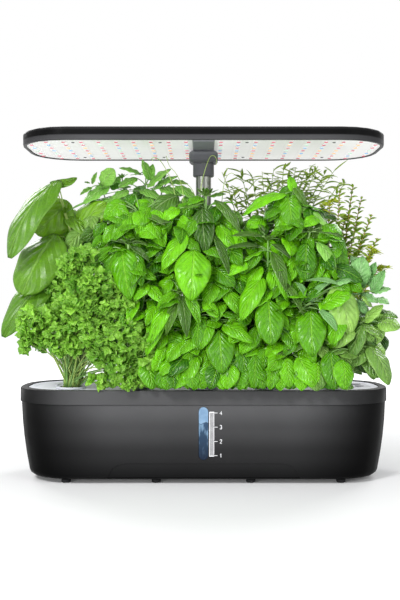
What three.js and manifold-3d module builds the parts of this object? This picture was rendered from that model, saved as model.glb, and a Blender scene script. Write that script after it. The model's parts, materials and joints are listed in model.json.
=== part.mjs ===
// Countertop hydroponic garden with ten pods, a lamp on a telescopic mast and a circulation pump.
// Millimetres, +Z up. The origin is on the floor under the middle of the pot, the front faces -Y.
import * as THREE from "three";
import { mergeVertices } from "three/addons/utils/BufferGeometryUtils.js";
import Module from "manifold-3d";

const wasm = await Module();
wasm.setup();

// Gaps between pieces
const seat = 0.3; // between pieces that rest on or sit in each other
const runningGap = 0.1; // round a turning pin
const slideGap = 0.4; // round a sliding tube

// Pot, measured at its rim
const potLength = 430;
const potDepth = 156;
const potCorner = 64; // plan radius
const rimTop = 106;
const rimRound = 1.4;
const skirtHeight = 16;
const skirtWall = 2;
const rimWidth = 9; // from the skirt's face to the deck's edge
const ledgeReach = 4; // how far the ledge carries the deck
const ledgeThick = 2;
const flangeThick = 2.7;
const tankWall = 3;
const shoulder = 1.5; // the tank's face lies this far inside the skirt's face
const wallLean = 0.03; // how fast the wall draws in just below the skirt
const wallCurve = 0.0011; // and how much faster for each millimetre below that
const heelRadius = 9;
const panelRecess = 0.8; // the shallow field low on the front
const panelTop = 23.5;
const panelHalfTop = 96;
const panelHalfFoot = 109;
const panelCorner = 12;

// Feet
const footHeight = 4;
const footRadius = 5.5;
const footColumns = [-156, -53.6, 53.6, 156];
const footRow = 54;

// Level window in the front wall
const windowWidth = 11.1;
const windowHeight = 60.3;
const windowMiddle = 57.6;
const windowThick = 2.4;

// Deck and pods
const deckThick = 2.5;
const deckDrop = 1; // below the rim's top
const podPitch = 76;
const podRow = 40;
const podColumns = 5;
const basketTop = 15; // radius where the basket passes the deck
const basketFoot = 10.5;
const basketDepth = 48;
const basketWall = 1.5;
const basketFlange = 17.5;
const basketFlangeThick = 2;
const slotWidth = 5;
const slotHeight = 30;
const slotBase = 8; // above the basket's foot

// Refill lid and its mouth, at the left end of the deck
const lidMiddle = -184.5;
const lidHalfX = 12.5;
const lidHalfY = 20;
const lidThick = 1.9;
const lidLedge = 2.5;
const lidCorner = 0.3;
const lidFrameDepth = 4.5; // below the deck
const lidFrameWall = 2.2;
const hingeRadius = 0.7;
const hingeReach = 1.2; // how far a hinge stub enters the frame

// Control panel, board and buttons, at the right end of the deck
const controlMiddle = 184;
const controlHalfX = 12;
const controlHalfY = 28;
const controlCorner = 4;
const controlThick = 1.6;
const controlLedge = 1.5;
const trayDepth = 14;
const trayWall = 2;
const trayRib = 1.6;
const boardThick = 1.6;
const boardGap = 1.2; // between the board's square corners and the tray
const switchSize = 6;
const buttonRadius = 5.5;
const buttonFlange = 0.8;
const buttonSpacing = 24;
const buttonProud = 0.8;
const buttonTravel = 0.8;
const buttonFlangeThick = 1.2;

// Power inlet at the back of the rim
const inletX = 120;
const inletHeight = 95;
const inletBody = [14, 14, 9.2];
const inletNose = 4;
const inletBore = 3.1;
const inletDepth = 10;
const inletPin = 1;

// Mast
const socketFlange = 20;
const socketFlangeThick = 2.2;
const socketBoss = 14;
const socketTop = 122;
const socketFloor = 94;
const socketFloorThick = 3;
const lowerTubeRadius = 11;
const lowerTubeTop = 243;
const tubeWall = 1.5;
const collarHeight = 18;
const collarRadius = 13.5;
const collarLip = 7; // the part of the collar above the lower tube
const upperTubeWall = 1.1;
const lampTravelDown = 100;
const tubeFootGap = 1; // left under the upper tube at its lowest

// Lamp
const lampLength = 421;
const lampDepth = 156;
const lampCorner = 56;
const lampBottom = 384.7;
const lampHeight = 15.3;
const lampWall = 2.5;
const lampLip = 4;
const lampEdge = 3.5; // rounding of the top edge
const boardRecess = 1;
const ledBoardThick = 1.6;
const boardSeat = 5; // width of the shelf behind the board
const shelfThick = 2.4;
const ledPitch = 19.8;
const ledSize = 4.4;
const ledThick = 0.7;
const ledRows = 7;
const ledColumns = 9; // full columns on each side of the spine
const ledEndRows = 5; // rows of the shorter end column
const spineWidth = 25;
const spineThick = 2;
const hubWidth = 34;
const hubHeight = 13.3;
const hubCorner = 6;
const hubEdge = 2.5;
const sleeveRadius = 12.5;
const sleeveHeight = 16.2;
const sleeveGrip = 12; // how far the tube runs on into the block
const latchWidth = 16.7;
const latchHeight = 1.3;
const latchDepth = 1.5;

// Pump under the control panel
const pumpMiddle = 176;
const pumpSize = [30, 34, 31];
const pumpCorner = 5;
const chamberRadius = 12.5;
const chamberDepth = 13;
const impellerRadius = 11.3;
const impellerHub = 3.6;
const impellerPin = 1.5;
const bladeCount = 6;
const bladeThick = 1.4;
const bladeLength = 7;
const impellerPlate = 1.3;
const pumpCoverThick = 3;
const grilleSlots = 5;
const grilleSlot = 2.2;
const spigotRadius = 4;
const spigotHeight = 8;
const pipeBore = 4.4;
const pipeRadius = 6;
const pipeTop = 84;
const pipeReach = 24;

// Facets
const cornerSteps = 5;
const heelSteps = 3;
const wallSteps = 4;
const roundSides = 16;
const podHoleSides = 12;

const half = Math.PI;
const quarter = Math.PI / 2;
const AXIS = null;

const materials = {
  tank: new THREE.MeshStandardMaterial({ color: 0x46474a, roughness: 0.42, metalness: 0.05 }),
  window: new THREE.MeshStandardMaterial({ color: 0x8fc6ff, roughness: 0.08, transparent: true, opacity: 0.5 }),
  foot: new THREE.MeshStandardMaterial({ color: 0x111112, roughness: 0.8 }),
  rim: new THREE.MeshStandardMaterial({ color: 0x4a4b4f, roughness: 0.4 }),
  deck: new THREE.MeshStandardMaterial({ color: 0xc6c6cf, roughness: 0.5 }),
  basket: new THREE.MeshStandardMaterial({ color: 0x2b2c2e, roughness: 0.55 }),
  sponge: new THREE.MeshStandardMaterial({ color: 0x3a2c20, roughness: 1 }),
  tube: new THREE.MeshStandardMaterial({ color: 0xc9c9c4, roughness: 0.25, metalness: 0.9 }),
  hub: new THREE.MeshStandardMaterial({ color: 0x5b5c62, roughness: 0.5 }),
  lamp: new THREE.MeshStandardMaterial({ color: 0x3a3b3e, roughness: 0.35 }),
  board: new THREE.MeshStandardMaterial({ color: 0xf4f2f4, roughness: 0.4 }),
  panel: new THREE.MeshStandardMaterial({ color: 0xb9b9c2, roughness: 0.35 }),
  button: new THREE.MeshStandardMaterial({ color: 0x8f9097, roughness: 0.4 }),
  circuit: new THREE.MeshStandardMaterial({ color: 0x1f5d35, roughness: 0.5 }),
  inlet: new THREE.MeshStandardMaterial({ color: 0x151516, roughness: 0.45 }),
  pump: new THREE.MeshStandardMaterial({ color: 0x1e1f21, roughness: 0.5 }),
  impeller: new THREE.MeshStandardMaterial({ color: 0xe6e6e2, roughness: 0.4 }),
  leaf: new THREE.MeshStandardMaterial({ color: 0x4d9a2e, roughness: 0.6 }),
};

// A closed geometry as a solid that can be joined and cut
function toSolid(geometry) {
  const bare = geometry.clone();
  bare.deleteAttribute("normal");
  bare.deleteAttribute("uv");
  const merged = mergeVertices(bare, 1e-4);
  const index = merged.index.array;
  const triVerts = [];
  for (let i = 0; i < index.length; i += 3) {
    const [a, b, c] = [index[i], index[i + 1], index[i + 2]];
    if (a !== b && b !== c && c !== a) triVerts.push(a, b, c);
  }
  const build = (faces) =>
    new wasm.Manifold(
      new wasm.Mesh({
        numProp: 3,
        vertProperties: new Float32Array(merged.attributes.position.array),
        triVerts: new Uint32Array(faces),
      }),
    );
  const solid = build(triVerts);
  return solid.volume() < 0 ? build(triVerts.reverse()) : solid;
}

function surface(positions, faces) {
  const geometry = new THREE.BufferGeometry();
  geometry.setAttribute("position", new THREE.Float32BufferAttribute(positions, 3));
  geometry.setIndex(faces);
  return geometry;
}

// Points round a rounded rectangle, anticlockwise seen from above
function roundRect({ halfX, halfY, corner }, steps) {
  const points = [];
  const signs = [[1, 1], [-1, 1], [-1, -1], [1, -1]];
  signs.forEach(([signX, signY], turn) => {
    for (let i = 0; i <= steps; i++) {
      const angle = (turn + i / steps) * quarter;
      const x = signX * (halfX - corner) + corner * Math.cos(angle);
      const y = signY * (halfY - corner) + corner * Math.sin(angle);
      points.push([x, y]);
    }
  });
  return points;
}

function insetPlan(plan, by) {
  return {
    halfX: plan.halfX - by,
    halfY: plan.halfY - by,
    corner: Math.max(plan.corner - by, 0.2),
  };
}

// A profile of [inset, height] points carried round a rounded rectangle. It starts and ends on the
// axis, or it closes on itself, and runs anticlockwise with the outside to its right.
function aroundPlan(plan, profile, steps = cornerSteps) {
  const positions = [];
  const rings = profile.map(([by, z]) => {
    const points = by === AXIS ? [[0, 0]] : roundRect(insetPlan(plan, by), steps);
    const first = positions.length / 3;
    points.forEach(([x, y]) => positions.push(x, y, z));
    return { first, count: points.length };
  });
  const faces = [];
  const bands = profile[0][0] === AXIS ? rings.length - 1 : rings.length;
  for (let k = 0; k < bands; k++) {
    const low = rings[k];
    const high = rings[(k + 1) % rings.length];
    const count = Math.max(low.count, high.count);
    for (let i = 0; i < count; i++) {
      const next = (i + 1) % count;
      if (low.count > 1) faces.push(low.first + i, low.first + next, high.first + (high.count > 1 ? next : 0));
      if (high.count > 1) faces.push(low.first + (low.count > 1 ? i : 0), high.first + next, high.first + i);
    }
  }
  return toSolid(surface(positions, faces));
}

function shapeOf(points) {
  return new THREE.Shape(points.map(([x, y]) => new THREE.Vector2(x, y)));
}

function circlePoints(radius, sides, x = 0, y = 0) {
  const points = [];
  for (let i = 0; i < sides; i++) {
    const angle = (2 * half * i) / sides;
    points.push([x + radius * Math.cos(angle), y + radius * Math.sin(angle)]);
  }
  return points;
}

// An outline drawn in plan, from one height to another
function prism(shape, low, high) {
  const geometry = new THREE.ExtrudeGeometry(shape, { depth: high - low, bevelEnabled: false, curveSegments: 6 });
  geometry.translate(0, 0, low);
  return toSolid(geometry);
}

// An outline drawn on the front (X across, Z up), from one Y to another
function frontPrism(shape, nearY, farY) {
  const geometry = new THREE.ExtrudeGeometry(shape, { depth: farY - nearY, bevelEnabled: false, curveSegments: 6 });
  geometry.rotateX(quarter);
  geometry.translate(0, farY, 0);
  return toSolid(geometry);
}

function block(lowX, highX, lowY, highY, lowZ, highZ) {
  const geometry = new THREE.BoxGeometry(highX - lowX, highY - lowY, highZ - lowZ);
  geometry.translate((lowX + highX) / 2, (lowY + highY) / 2, (lowZ + highZ) / 2);
  return toSolid(geometry);
}

function roundedBlock(plan, steps, x, y, low, high) {
  const points = roundRect(plan, steps).map(([px, py]) => [px + x, py + y]);
  return prism(shapeOf(points), low, high);
}

// A profile of [radius, height] points turned about Z
function turned(profile, sides = 20) {
  const loop = profile[0][0] === 0 ? profile : [...profile, profile[0]];
  const geometry = new THREE.LatheGeometry(loop.map(([r, z]) => new THREE.Vector2(r, z)), sides);
  geometry.rotateX(quarter);
  return toSolid(geometry);
}

function disc(radius, low, high, sides = 20) {
  return turned([[0, low], [radius, low], [radius, high], [0, high]], sides);
}

// A solid moved by a three.js matrix
function moved(solid, { at = [0, 0, 0], turn = [0, 0, 0] }) {
  const mesh = solid.getMesh();
  const geometry = surface(Array.from(mesh.vertProperties), Array.from(mesh.triVerts));
  geometry.rotateX(turn[0]);
  geometry.rotateY(turn[1]);
  geometry.rotateZ(turn[2]);
  geometry.translate(...at);
  return toSolid(geometry);
}

function meshOf(name, solid, material, at = [0, 0, 0]) {
  const made = solid.getMesh();
  const geometry = surface(Array.from(made.vertProperties), Array.from(made.triVerts)).toNonIndexed();
  geometry.computeVertexNormals();
  const mesh = new THREE.Mesh(geometry, material);
  mesh.name = name;
  mesh.position.set(...at);
  return mesh;
}

// Heights and outlines that several pieces share
const pot = { halfX: potLength / 2, halfY: potDepth / 2, corner: potCorner };
const seamHeight = rimTop - skirtHeight;
const shoulderTop = seamHeight - seat;
const neckInset = skirtWall + seat;
const flangeBottom = rimTop - flangeThick;
const tankTop = flangeBottom - seat;
const tankFloor = footHeight + tankWall;
const deckTop = rimTop - deckDrop;
const deckBottom = deckTop - deckThick;
const ledgeTop = deckBottom - seat;
const upperTubeRadius = lowerTubeRadius - tubeWall - slideGap;
const lampTop = lampBottom + lampHeight;
const spineBottom = lampBottom + boardRecess - seat - spineThick;
const hubTop = spineBottom - seat;
const sleeveTop = hubTop - hubHeight;
const sleeveBottom = sleeveTop - sleeveHeight;
const collarTop = lowerTubeTop + collarLip;
const upperTubeBottom = socketFloor + tubeFootGap + lampTravelDown;
const upperTubeTop = sleeveTop + sleeveGrip;
const lamp = { halfX: lampLength / 2, halfY: lampDepth / 2, corner: lampCorner };

// How far the tank's wall lies inside the rim's outline at a height
function wallInset(z) {
  const drop = seamHeight - z;
  return shoulder + wallLean * drop + wallCurve * drop * drop;
}

// The tank's heel and wall up to a height, moved outwards by grow
function heelAndWall(grow, top) {
  const centreZ = footHeight + heelRadius;
  const slope = Math.atan(wallLean + 2 * wallCurve * (seamHeight - centreZ));
  const touchZ = centreZ - heelRadius * Math.sin(slope);
  const centreInset = wallInset(touchZ) + heelRadius * Math.cos(slope);
  const radius = heelRadius + grow;
  const points = [];
  for (let i = 0; i <= heelSteps; i++) {
    const angle = -quarter + ((quarter - slope) * i) / heelSteps;
    points.push([centreInset - radius * Math.cos(angle), centreZ + radius * Math.sin(angle)]);
  }
  for (let i = 1; i <= wallSteps; i++) {
    const z = touchZ + ((top - touchZ) * i) / wallSteps;
    points.push([wallInset(z) - grow, z]);
  }
  return points;
}

// The outside of the tank as a solid block, moved outwards by grow
function tankForm(grow) {
  return aroundPlan(pot, [
    [AXIS, footHeight - grow],
    ...heelAndWall(grow, shoulderTop),
    [neckInset - grow, shoulderTop],
    [neckInset - grow, tankTop],
    [AXIS, tankTop],
  ]);
}

function tankCavity() {
  const neck = neckInset + tankWall;
  return aroundPlan(pot, [
    [AXIS, tankFloor],
    ...heelAndWall(-tankWall, shoulderTop - tankWall),
    [neck, shoulderTop],
    [neck, tankTop + 1],
    [AXIS, tankTop + 1],
  ]);
}

function pillShape(grow) {
  const plan = { halfX: windowWidth / 2 + grow, halfY: windowHeight / 2 + grow, corner: windowWidth / 2 + grow - 0.01 };
  return shapeOf(roundRect(plan, 4).map(([x, z]) => [x, z + windowMiddle]));
}

const frontNear = -potDepth / 2 - 5;
const frontFar = -potDepth / 2 + 30;

function waterTank() {
  const field = new THREE.Shape();
  const fieldBottom = footHeight + 2;
  field.moveTo(-panelHalfFoot, fieldBottom);
  field.lineTo(panelHalfFoot, fieldBottom);
  field.lineTo(panelHalfTop + panelCorner / 2, panelTop - panelCorner / 2);
  field.quadraticCurveTo(panelHalfTop, panelTop, panelHalfTop - panelCorner, panelTop);
  field.lineTo(panelCorner - panelHalfTop, panelTop);
  field.quadraticCurveTo(-panelHalfTop, panelTop, -panelHalfTop - panelCorner / 2, panelTop - panelCorner / 2);
  field.closePath();
  const recess = frontPrism(field, frontNear, frontFar).subtract(tankForm(-panelRecess));
  const opening = frontPrism(pillShape(0), frontNear, frontFar);
  const notchX = inletBody[0] / 2 + seat;
  const notchZ = inletHeight - inletBody[2] / 2 - seat;
  const notch = block(inletX - notchX, inletX + notchX, potDepth / 2 - 20, potDepth / 2, notchZ, tankTop + 1);
  return tankForm(0).subtract(recess).subtract(tankCavity()).subtract(opening).subtract(notch);
}

function levelWindow() {
  const pane = frontPrism(pillShape(-seat), frontNear, frontFar);
  return pane.intersect(tankForm(0)).subtract(tankForm(-windowThick));
}

function foot() {
  const top = footHeight - seat;
  return turned([[0, 0], [footRadius - 0.8, 0], [footRadius, 0.8], [footRadius, top], [0, top]], 10);
}

function deckRim() {
  const ledgeInset = rimWidth + ledgeReach;
  const wallFoot = ledgeTop - ledgeThick;
  const ring = aroundPlan(pot, [
    [0, seamHeight],
    [0, rimTop - rimRound],
    [rimRound * 0.3, rimTop - rimRound * 0.3],
    [rimRound, rimTop],
    [rimWidth, rimTop],
    [rimWidth, ledgeTop],
    [ledgeInset, ledgeTop],
    [ledgeInset, wallFoot],
    [rimWidth - skirtWall, wallFoot],
    [rimWidth - skirtWall, flangeBottom],
    [skirtWall, flangeBottom],
    [skirtWall, seamHeight],
  ]);
  const hole = moved(disc(inletNose + seat, -2, skirtWall + 2, 16), { turn: [-quarter, 0, 0] });
  return ring.subtract(moved(hole, { at: [inletX, pot.halfY - skirtWall, inletHeight] }));
}

// The middles of the pods, front row first
const podPlaces = [];
for (const row of [-1, 1]) {
  for (let column = 0; column < podColumns; column++) {
    podPlaces.push([(column - (podColumns - 1) / 2) * podPitch, row * podRow]);
  }
}

const lidHinge = [lidMiddle - lidHalfX + lidThick / 2, deckTop - lidThick / 2];

function lidPocket(grow, low, high) {
  const plan = { halfX: lidHalfX + grow, halfY: lidHalfY + grow, corner: Math.max(lidCorner + grow, 0.3) };
  return roundedBlock(plan, 2, lidMiddle, 0, low, high);
}

function controlPocket(grow, low, high) {
  const plan = { halfX: controlHalfX + grow, halfY: controlHalfY + grow, corner: controlCorner + grow };
  return roundedBlock(plan, 3, controlMiddle, 0, low, high);
}

const trayBottom = deckTop - trayDepth;

function hingeStub(radius, reach) {
  const stub = moved(disc(radius, -reach, reach, 8), { turn: [quarter, 0, 0] });
  return moved(stub, { at: [lidHinge[0], 0, lidHinge[1]] });
}

function deckPlate() {
  const shape = shapeOf(roundRect(insetPlan(pot, rimWidth + seat), cornerSteps));
  const podHole = (basketTop + seat) / Math.cos(half / podHoleSides);
  podPlaces.forEach(([x, y]) => shape.holes.push(new THREE.Path(shapeOf(circlePoints(podHole, podHoleSides, x, y)).getPoints())));
  shape.holes.push(new THREE.Path(shapeOf(circlePoints(socketBoss + seat, 20)).getPoints()));
  const lidSeat = deckTop - lidThick - seat;
  const panelSeat = deckTop - controlThick - seat;
  const rib = (y) =>
    block(controlMiddle - 8, controlMiddle + 8, y - 2, y + 2, trayBottom + trayWall / 2, trayBottom + trayWall + trayRib);
  return prism(shape, deckBottom, deckTop)
    .add(lidPocket(lidFrameWall + seat, deckBottom - lidFrameDepth, deckBottom + 1))
    .subtract(lidPocket(seat, lidSeat, deckTop + 1))
    .subtract(lidPocket(-lidLedge, deckBottom - lidFrameDepth - 1, deckTop + 1))
    .subtract(hingeStub(hingeRadius + runningGap, lidHalfY + hingeReach + seat))
    .add(controlPocket(trayWall + seat, trayBottom, deckBottom + 1))
    .subtract(controlPocket(seat, panelSeat, deckTop + 1))
    .subtract(controlPocket(-controlLedge, trayBottom + trayWall, deckTop + 1))
    .add(rib(-controlHalfY * 0.6))
    .add(rib(controlHalfY * 0.6));
}

function refillLid() {
  const [axisX, axisZ] = lidHinge;
  const farX = lidMiddle + lidHalfX;
  const top = deckTop;
  const bottom = deckTop - lidThick;
  const plate = block(axisX, farX, -lidHalfY, lidHalfY, bottom, top);
  const root = moved(disc(lidThick / 2, -lidHalfY, lidHalfY, 12), { turn: [quarter, 0, 0], at: [axisX, 0, axisZ] });
  const tab = block(farX - 3, farX - 1, -8, 8, top - 0.5, top + 1.4);
  return plate.add(root).add(tab).add(hingeStub(hingeRadius, lidHalfY + hingeReach));
}

const buttonPlaces = [-buttonSpacing / 2, buttonSpacing / 2];

function controlPanel() {
  const bottom = deckTop - controlThick;
  let panel = controlPocket(0, bottom, deckTop);
  buttonPlaces.forEach((y) => {
    const hole = disc(buttonRadius + seat, bottom - 1, deckTop + 1, 12);
    panel = panel.subtract(moved(hole, { at: [controlMiddle, y, 0] }));
  });
  return panel;
}

const boardBottom = trayBottom + trayWall + trayRib + seat;
const boardTop = boardBottom + boardThick;
const flangeTop = deckTop - controlThick - seat;
const buttonBottom = flangeTop - buttonFlangeThick;
const switchTop = buttonBottom - buttonTravel - seat;

function controlBoard() {
  const reachX = controlHalfX - controlLedge - boardGap;
  const reachY = controlHalfY - controlLedge - boardGap;
  let board = block(controlMiddle - reachX, controlMiddle + reachX, -reachY, reachY, boardBottom, boardTop);
  buttonPlaces.forEach((y) => {
    const size = switchSize / 2;
    board = board.add(
      block(controlMiddle - size, controlMiddle + size, y - size, y + size, boardTop - 0.5, switchTop),
    );
  });
  return board;
}

function button() {
  const wide = buttonRadius + buttonFlange;
  const top = deckTop + buttonProud;
  return turned(
    [
      [0, buttonBottom],
      [wide, buttonBottom],
      [wide, flangeTop],
      [buttonRadius, flangeTop],
      [buttonRadius, top - 0.5],
      [buttonRadius - 0.5, top],
      [0, top],
    ],
    12,
  );
}

function powerInlet() {
  const [wide, deep, high] = inletBody;
  const face = pot.halfY - skirtWall - seat;
  const mouth = pot.halfY - seat;
  const along = (radius, near, far, sides) =>
    moved(disc(radius, near, far, sides), { turn: [-quarter, 0, 0], at: [inletX, 0, inletHeight] });
  return block(inletX - wide / 2, inletX + wide / 2, face - deep, face, inletHeight - high / 2, inletHeight + high / 2)
    .add(along(inletNose, face - 1, mouth, 16))
    .subtract(along(inletBore, mouth - inletDepth, mouth + 1, 12))
    .add(along(inletPin, mouth - inletDepth - 1, mouth - 1, 6));
}

// A tapered net pot: heights are measured from the deck's top
function basket() {
  const innerTop = basketTop - basketWall;
  const innerFoot = basketFoot - basketWall;
  const foot = -basketDepth;
  const rimZ = seat + basketFlangeThick;
  const cup = turned(
    [
      [0, foot],
      [basketFoot, foot],
      [basketTop, seat],
      [basketFlange, seat],
      [basketFlange - 0.6, rimZ],
      [innerTop, rimZ],
      [innerFoot, foot + basketWall],
      [0, foot + basketWall],
    ],
    10,
  );
  const low = foot + slotBase;
  const high = low + slotHeight;
  const reach = basketTop + 1;
  return cup
    .subtract(block(-reach, reach, -slotWidth / 2, slotWidth / 2, low, high))
    .subtract(block(-slotWidth / 2, slotWidth / 2, -reach, reach, low, high));
}

const spongeTop = 1;

function sponge() {
  const foot = basketWall - basketDepth + seat;
  const topRadius = basketTop - basketWall - 2 * seat;
  return turned([[0, foot], [basketFoot - basketWall - seat, foot], [topRadius, spongeTop], [0, spongeTop]], 10);
}

function mastSocket() {
  const bore = lowerTubeRadius + seat;
  const flange = deckTop + seat;
  return turned(
    [
      [0, socketFloor - socketFloorThick],
      [socketBoss, socketFloor - socketFloorThick],
      [socketBoss, flange],
      [socketFlange, flange],
      [socketFlange, flange + socketFlangeThick - 1],
      [socketFlange - 1, flange + socketFlangeThick],
      [socketBoss + 1, flange + socketFlangeThick + 1],
      [socketBoss - 0.5, flange + 2 * socketFlangeThick],
      [bore + 1.5, socketTop],
      [bore, socketTop],
      [bore, socketFloor],
      [0, socketFloor],
    ],
    roundSides,
  );
}

function lowerTube() {
  const inner = lowerTubeRadius - tubeWall;
  const foot = socketFloor + seat;
  return turned([[inner, foot], [lowerTubeRadius, foot], [lowerTubeRadius, lowerTubeTop], [inner, lowerTubeTop]], roundSides);
}

function tubeCollar() {
  const wide = lowerTubeRadius + seat;
  const narrow = upperTubeRadius + slideGap;
  const foot = collarTop - collarHeight;
  return turned(
    [
      [wide, foot],
      [collarRadius, foot],
      [collarRadius, collarTop - 2],
      [collarRadius - 1.2, collarTop],
      [narrow, collarTop],
      [narrow, lowerTubeTop + seat],
      [wide, lowerTubeTop + seat],
    ],
    roundSides,
  );
}

function upperTube() {
  const inner = upperTubeRadius - upperTubeWall;
  return turned(
    [[inner, upperTubeBottom], [upperTubeRadius, upperTubeBottom], [upperTubeRadius, upperTubeTop], [inner, upperTubeTop]],
    roundSides,
  );
}

function lampHub() {
  const plan = { halfX: hubWidth / 2, halfY: hubWidth / 2, corner: hubCorner };
  const body = aroundPlan(
    plan,
    [
      [AXIS, sleeveTop],
      [hubEdge, sleeveTop],
      [0, sleeveTop + hubEdge],
      [0, hubTop - hubEdge],
      [hubEdge, hubTop],
      [AXIS, hubTop],
    ],
    4,
  );
  const sleeve = turned(
    [[0, sleeveBottom], [sleeveRadius - 0.8, sleeveBottom], [sleeveRadius, sleeveBottom + 0.8], [sleeveRadius, sleeveTop + 1], [0, sleeveTop + 1]],
    roundSides,
  );
  const slot = block(-latchWidth / 2, latchWidth / 2, -sleeveRadius - 1, latchDepth - sleeveRadius + 2,
    sleeveTop - latchHeight - 0.5, sleeveTop - 0.5);
  return body.add(sleeve).subtract(disc(upperTubeRadius + seat, sleeveBottom - 1, upperTubeTop + seat, roundSides)).subtract(slot);
}

const boardFace = lampBottom + boardRecess;
const boardBack = boardFace + ledBoardThick;

function lampCover() {
  const shelf = boardBack + seat;
  return aroundPlan(lamp, [
    [AXIS, lampTop - lampWall],
    [lampWall, lampTop - lampWall],
    [lampWall, shelf + shelfThick],
    [lampLip + boardSeat, shelf + shelfThick],
    [lampLip + boardSeat, shelf],
    [lampLip, shelf],
    [lampLip, lampBottom],
    [0.8, lampBottom],
    [0, lampBottom + 0.8],
    [0, lampTop - lampEdge],
    [lampEdge * 0.3, lampTop - lampEdge * 0.3],
    [lampEdge, lampTop],
    [AXIS, lampTop],
  ]);
}

function ledBoard() {
  const plan = insetPlan(lamp, lampLip + seat);
  let board = prism(shapeOf(roundRect(plan, cornerSteps)), boardFace, boardBack);
  const led = ledSize / 2;
  for (const side of [-1, 1]) {
    for (let column = 1; column <= ledColumns + 1; column++) {
      const rows = column <= ledColumns ? ledRows : ledEndRows;
      for (let row = 0; row < rows; row++) {
        const x = side * column * ledPitch;
        const y = (row - (rows - 1) / 2) * ledPitch;
        board = board.add(block(x - led, x + led, y - led, y + led, boardFace - ledThick, boardFace + ledThick));
      }
    }
  }
  return board;
}

function spineCover() {
  const reach = lamp.halfY - lampLip - seat;
  const plan = { halfX: spineWidth / 2, halfY: reach, corner: 2 };
  return aroundPlan(
    plan,
    [
      [AXIS, spineBottom],
      [0.8, spineBottom],
      [0, spineBottom + 0.8],
      [0, spineBottom + spineThick],
      [AXIS, spineBottom + spineThick],
    ],
    2,
  );
}

// Pump: its front faces -X, and the chamber opens there
const pumpFront = pumpMiddle - pumpSize[0] / 2;
const pumpBottom = tankFloor + seat;
const pumpTop = pumpBottom + pumpSize[2];
const pumpAxisZ = pumpBottom + pumpSize[2] / 2;
const chamberFloor = pumpFront + chamberDepth;

// A solid turned about Z, laid along X through the impeller's axis
function alongPump(solid, x = 0) {
  return moved(solid, { turn: [0, quarter, 0], at: [x, 0, pumpAxisZ] });
}

function pumpSection(low, high, grow) {
  const plan = { halfX: pumpSize[2] / 2 + grow, halfY: pumpSize[1] / 2 + grow, corner: pumpCorner + grow };
  return alongPump(roundedBlock(plan, 3, 0, 0, low, high));
}

function pumpBody() {
  const spigot = disc(spigotRadius, pumpTop - 1, pumpTop + spigotHeight, 12);
  const outlet = disc(spigotRadius - 1.4, pumpAxisZ + 4, pumpTop + spigotHeight + 1, 8);
  return pumpSection(pumpFront, pumpFront + pumpSize[0], 0)
    .add(moved(spigot, { at: [chamberFloor - 4, 0, 0] }))
    .subtract(alongPump(disc(chamberRadius, pumpFront - 1, chamberFloor)))
    .subtract(moved(outlet, { at: [chamberFloor - 4, 0, 0] }))
    .add(alongPump(disc(impellerPin, pumpFront + 1, chamberFloor + 1, 12)));
}

function pumpCover() {
  const back = pumpFront - seat;
  let cover = pumpSection(back - pumpCoverThick, back, 0);
  const span = 2 * chamberRadius;
  for (let i = 0; i < grilleSlots; i++) {
    const y = ((i + 0.5) / grilleSlots - 0.5) * span;
    const reach = Math.sqrt(chamberRadius * chamberRadius - y * y) - 1.5;
    cover = cover.subtract(
      block(back - pumpCoverThick - 1, back + 1, y - grilleSlot / 2, y + grilleSlot / 2, pumpAxisZ - reach, pumpAxisZ + reach),
    );
  }
  return cover;
}

function impeller() {
  const plateBack = chamberFloor - 2 * seat;
  const plateFront = plateBack - impellerPlate;
  const bladeFront = plateFront - bladeLength;
  let wheel = disc(impellerRadius, plateFront, plateBack, 24).add(disc(impellerHub, bladeFront, plateFront + 0.5, 12));
  for (let i = 0; i < bladeCount; i++) {
    const blade = block(impellerHub - 1, impellerRadius - 0.5, -bladeThick / 2, bladeThick / 2, bladeFront + 1, plateFront + 0.5);
    wheel = wheel.add(moved(blade, { turn: [0, 0, (2 * half * i) / bladeCount] }));
  }
  return alongPump(wheel.subtract(disc(impellerPin + runningGap, bladeFront - 1, plateBack + 1, 12)));
}

function riserPipe() {
  const startX = chamberFloor - 4;
  const start = pumpTop + seat;
  const bend = 12;
  const path = new THREE.CurvePath();
  const point = (x, z) => new THREE.Vector3(x, 0, z);
  path.add(new THREE.LineCurve3(point(startX, start), point(startX, pipeTop - bend)));
  path.add(
    new THREE.QuadraticBezierCurve3(point(startX, pipeTop - bend), point(startX, pipeTop), point(startX - bend, pipeTop)),
  );
  path.add(new THREE.LineCurve3(point(startX - bend, pipeTop), point(startX - pipeReach, pipeTop)));
  const section = shapeOf(circlePoints(pipeRadius, 8));
  section.holes.push(new THREE.Path(shapeOf(circlePoints(pipeBore, 8)).getPoints()));
  return toSolid(new THREE.ExtrudeGeometry(section, { steps: 8, extrudePath: path, bevelEnabled: false }));
}

// Herbs. A plant stands on its sponge with stems that rise and lean outwards, and each stem carries
// leaves in opposite pairs, each pair a quarter turn from the last, with a few at its tip.
const headroom = lampBottom - deckTop;
const crownHeight = 5;
const crownRadius = 4.5;
const finestDetail = 0.03;
const leafGap = 0.5; // kept between a leaf and whatever isn't its own plant
const shrinkStep = 0.8; // a leaf that would touch something is made smaller by this
const smallestLeaf = 0.35;

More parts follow.
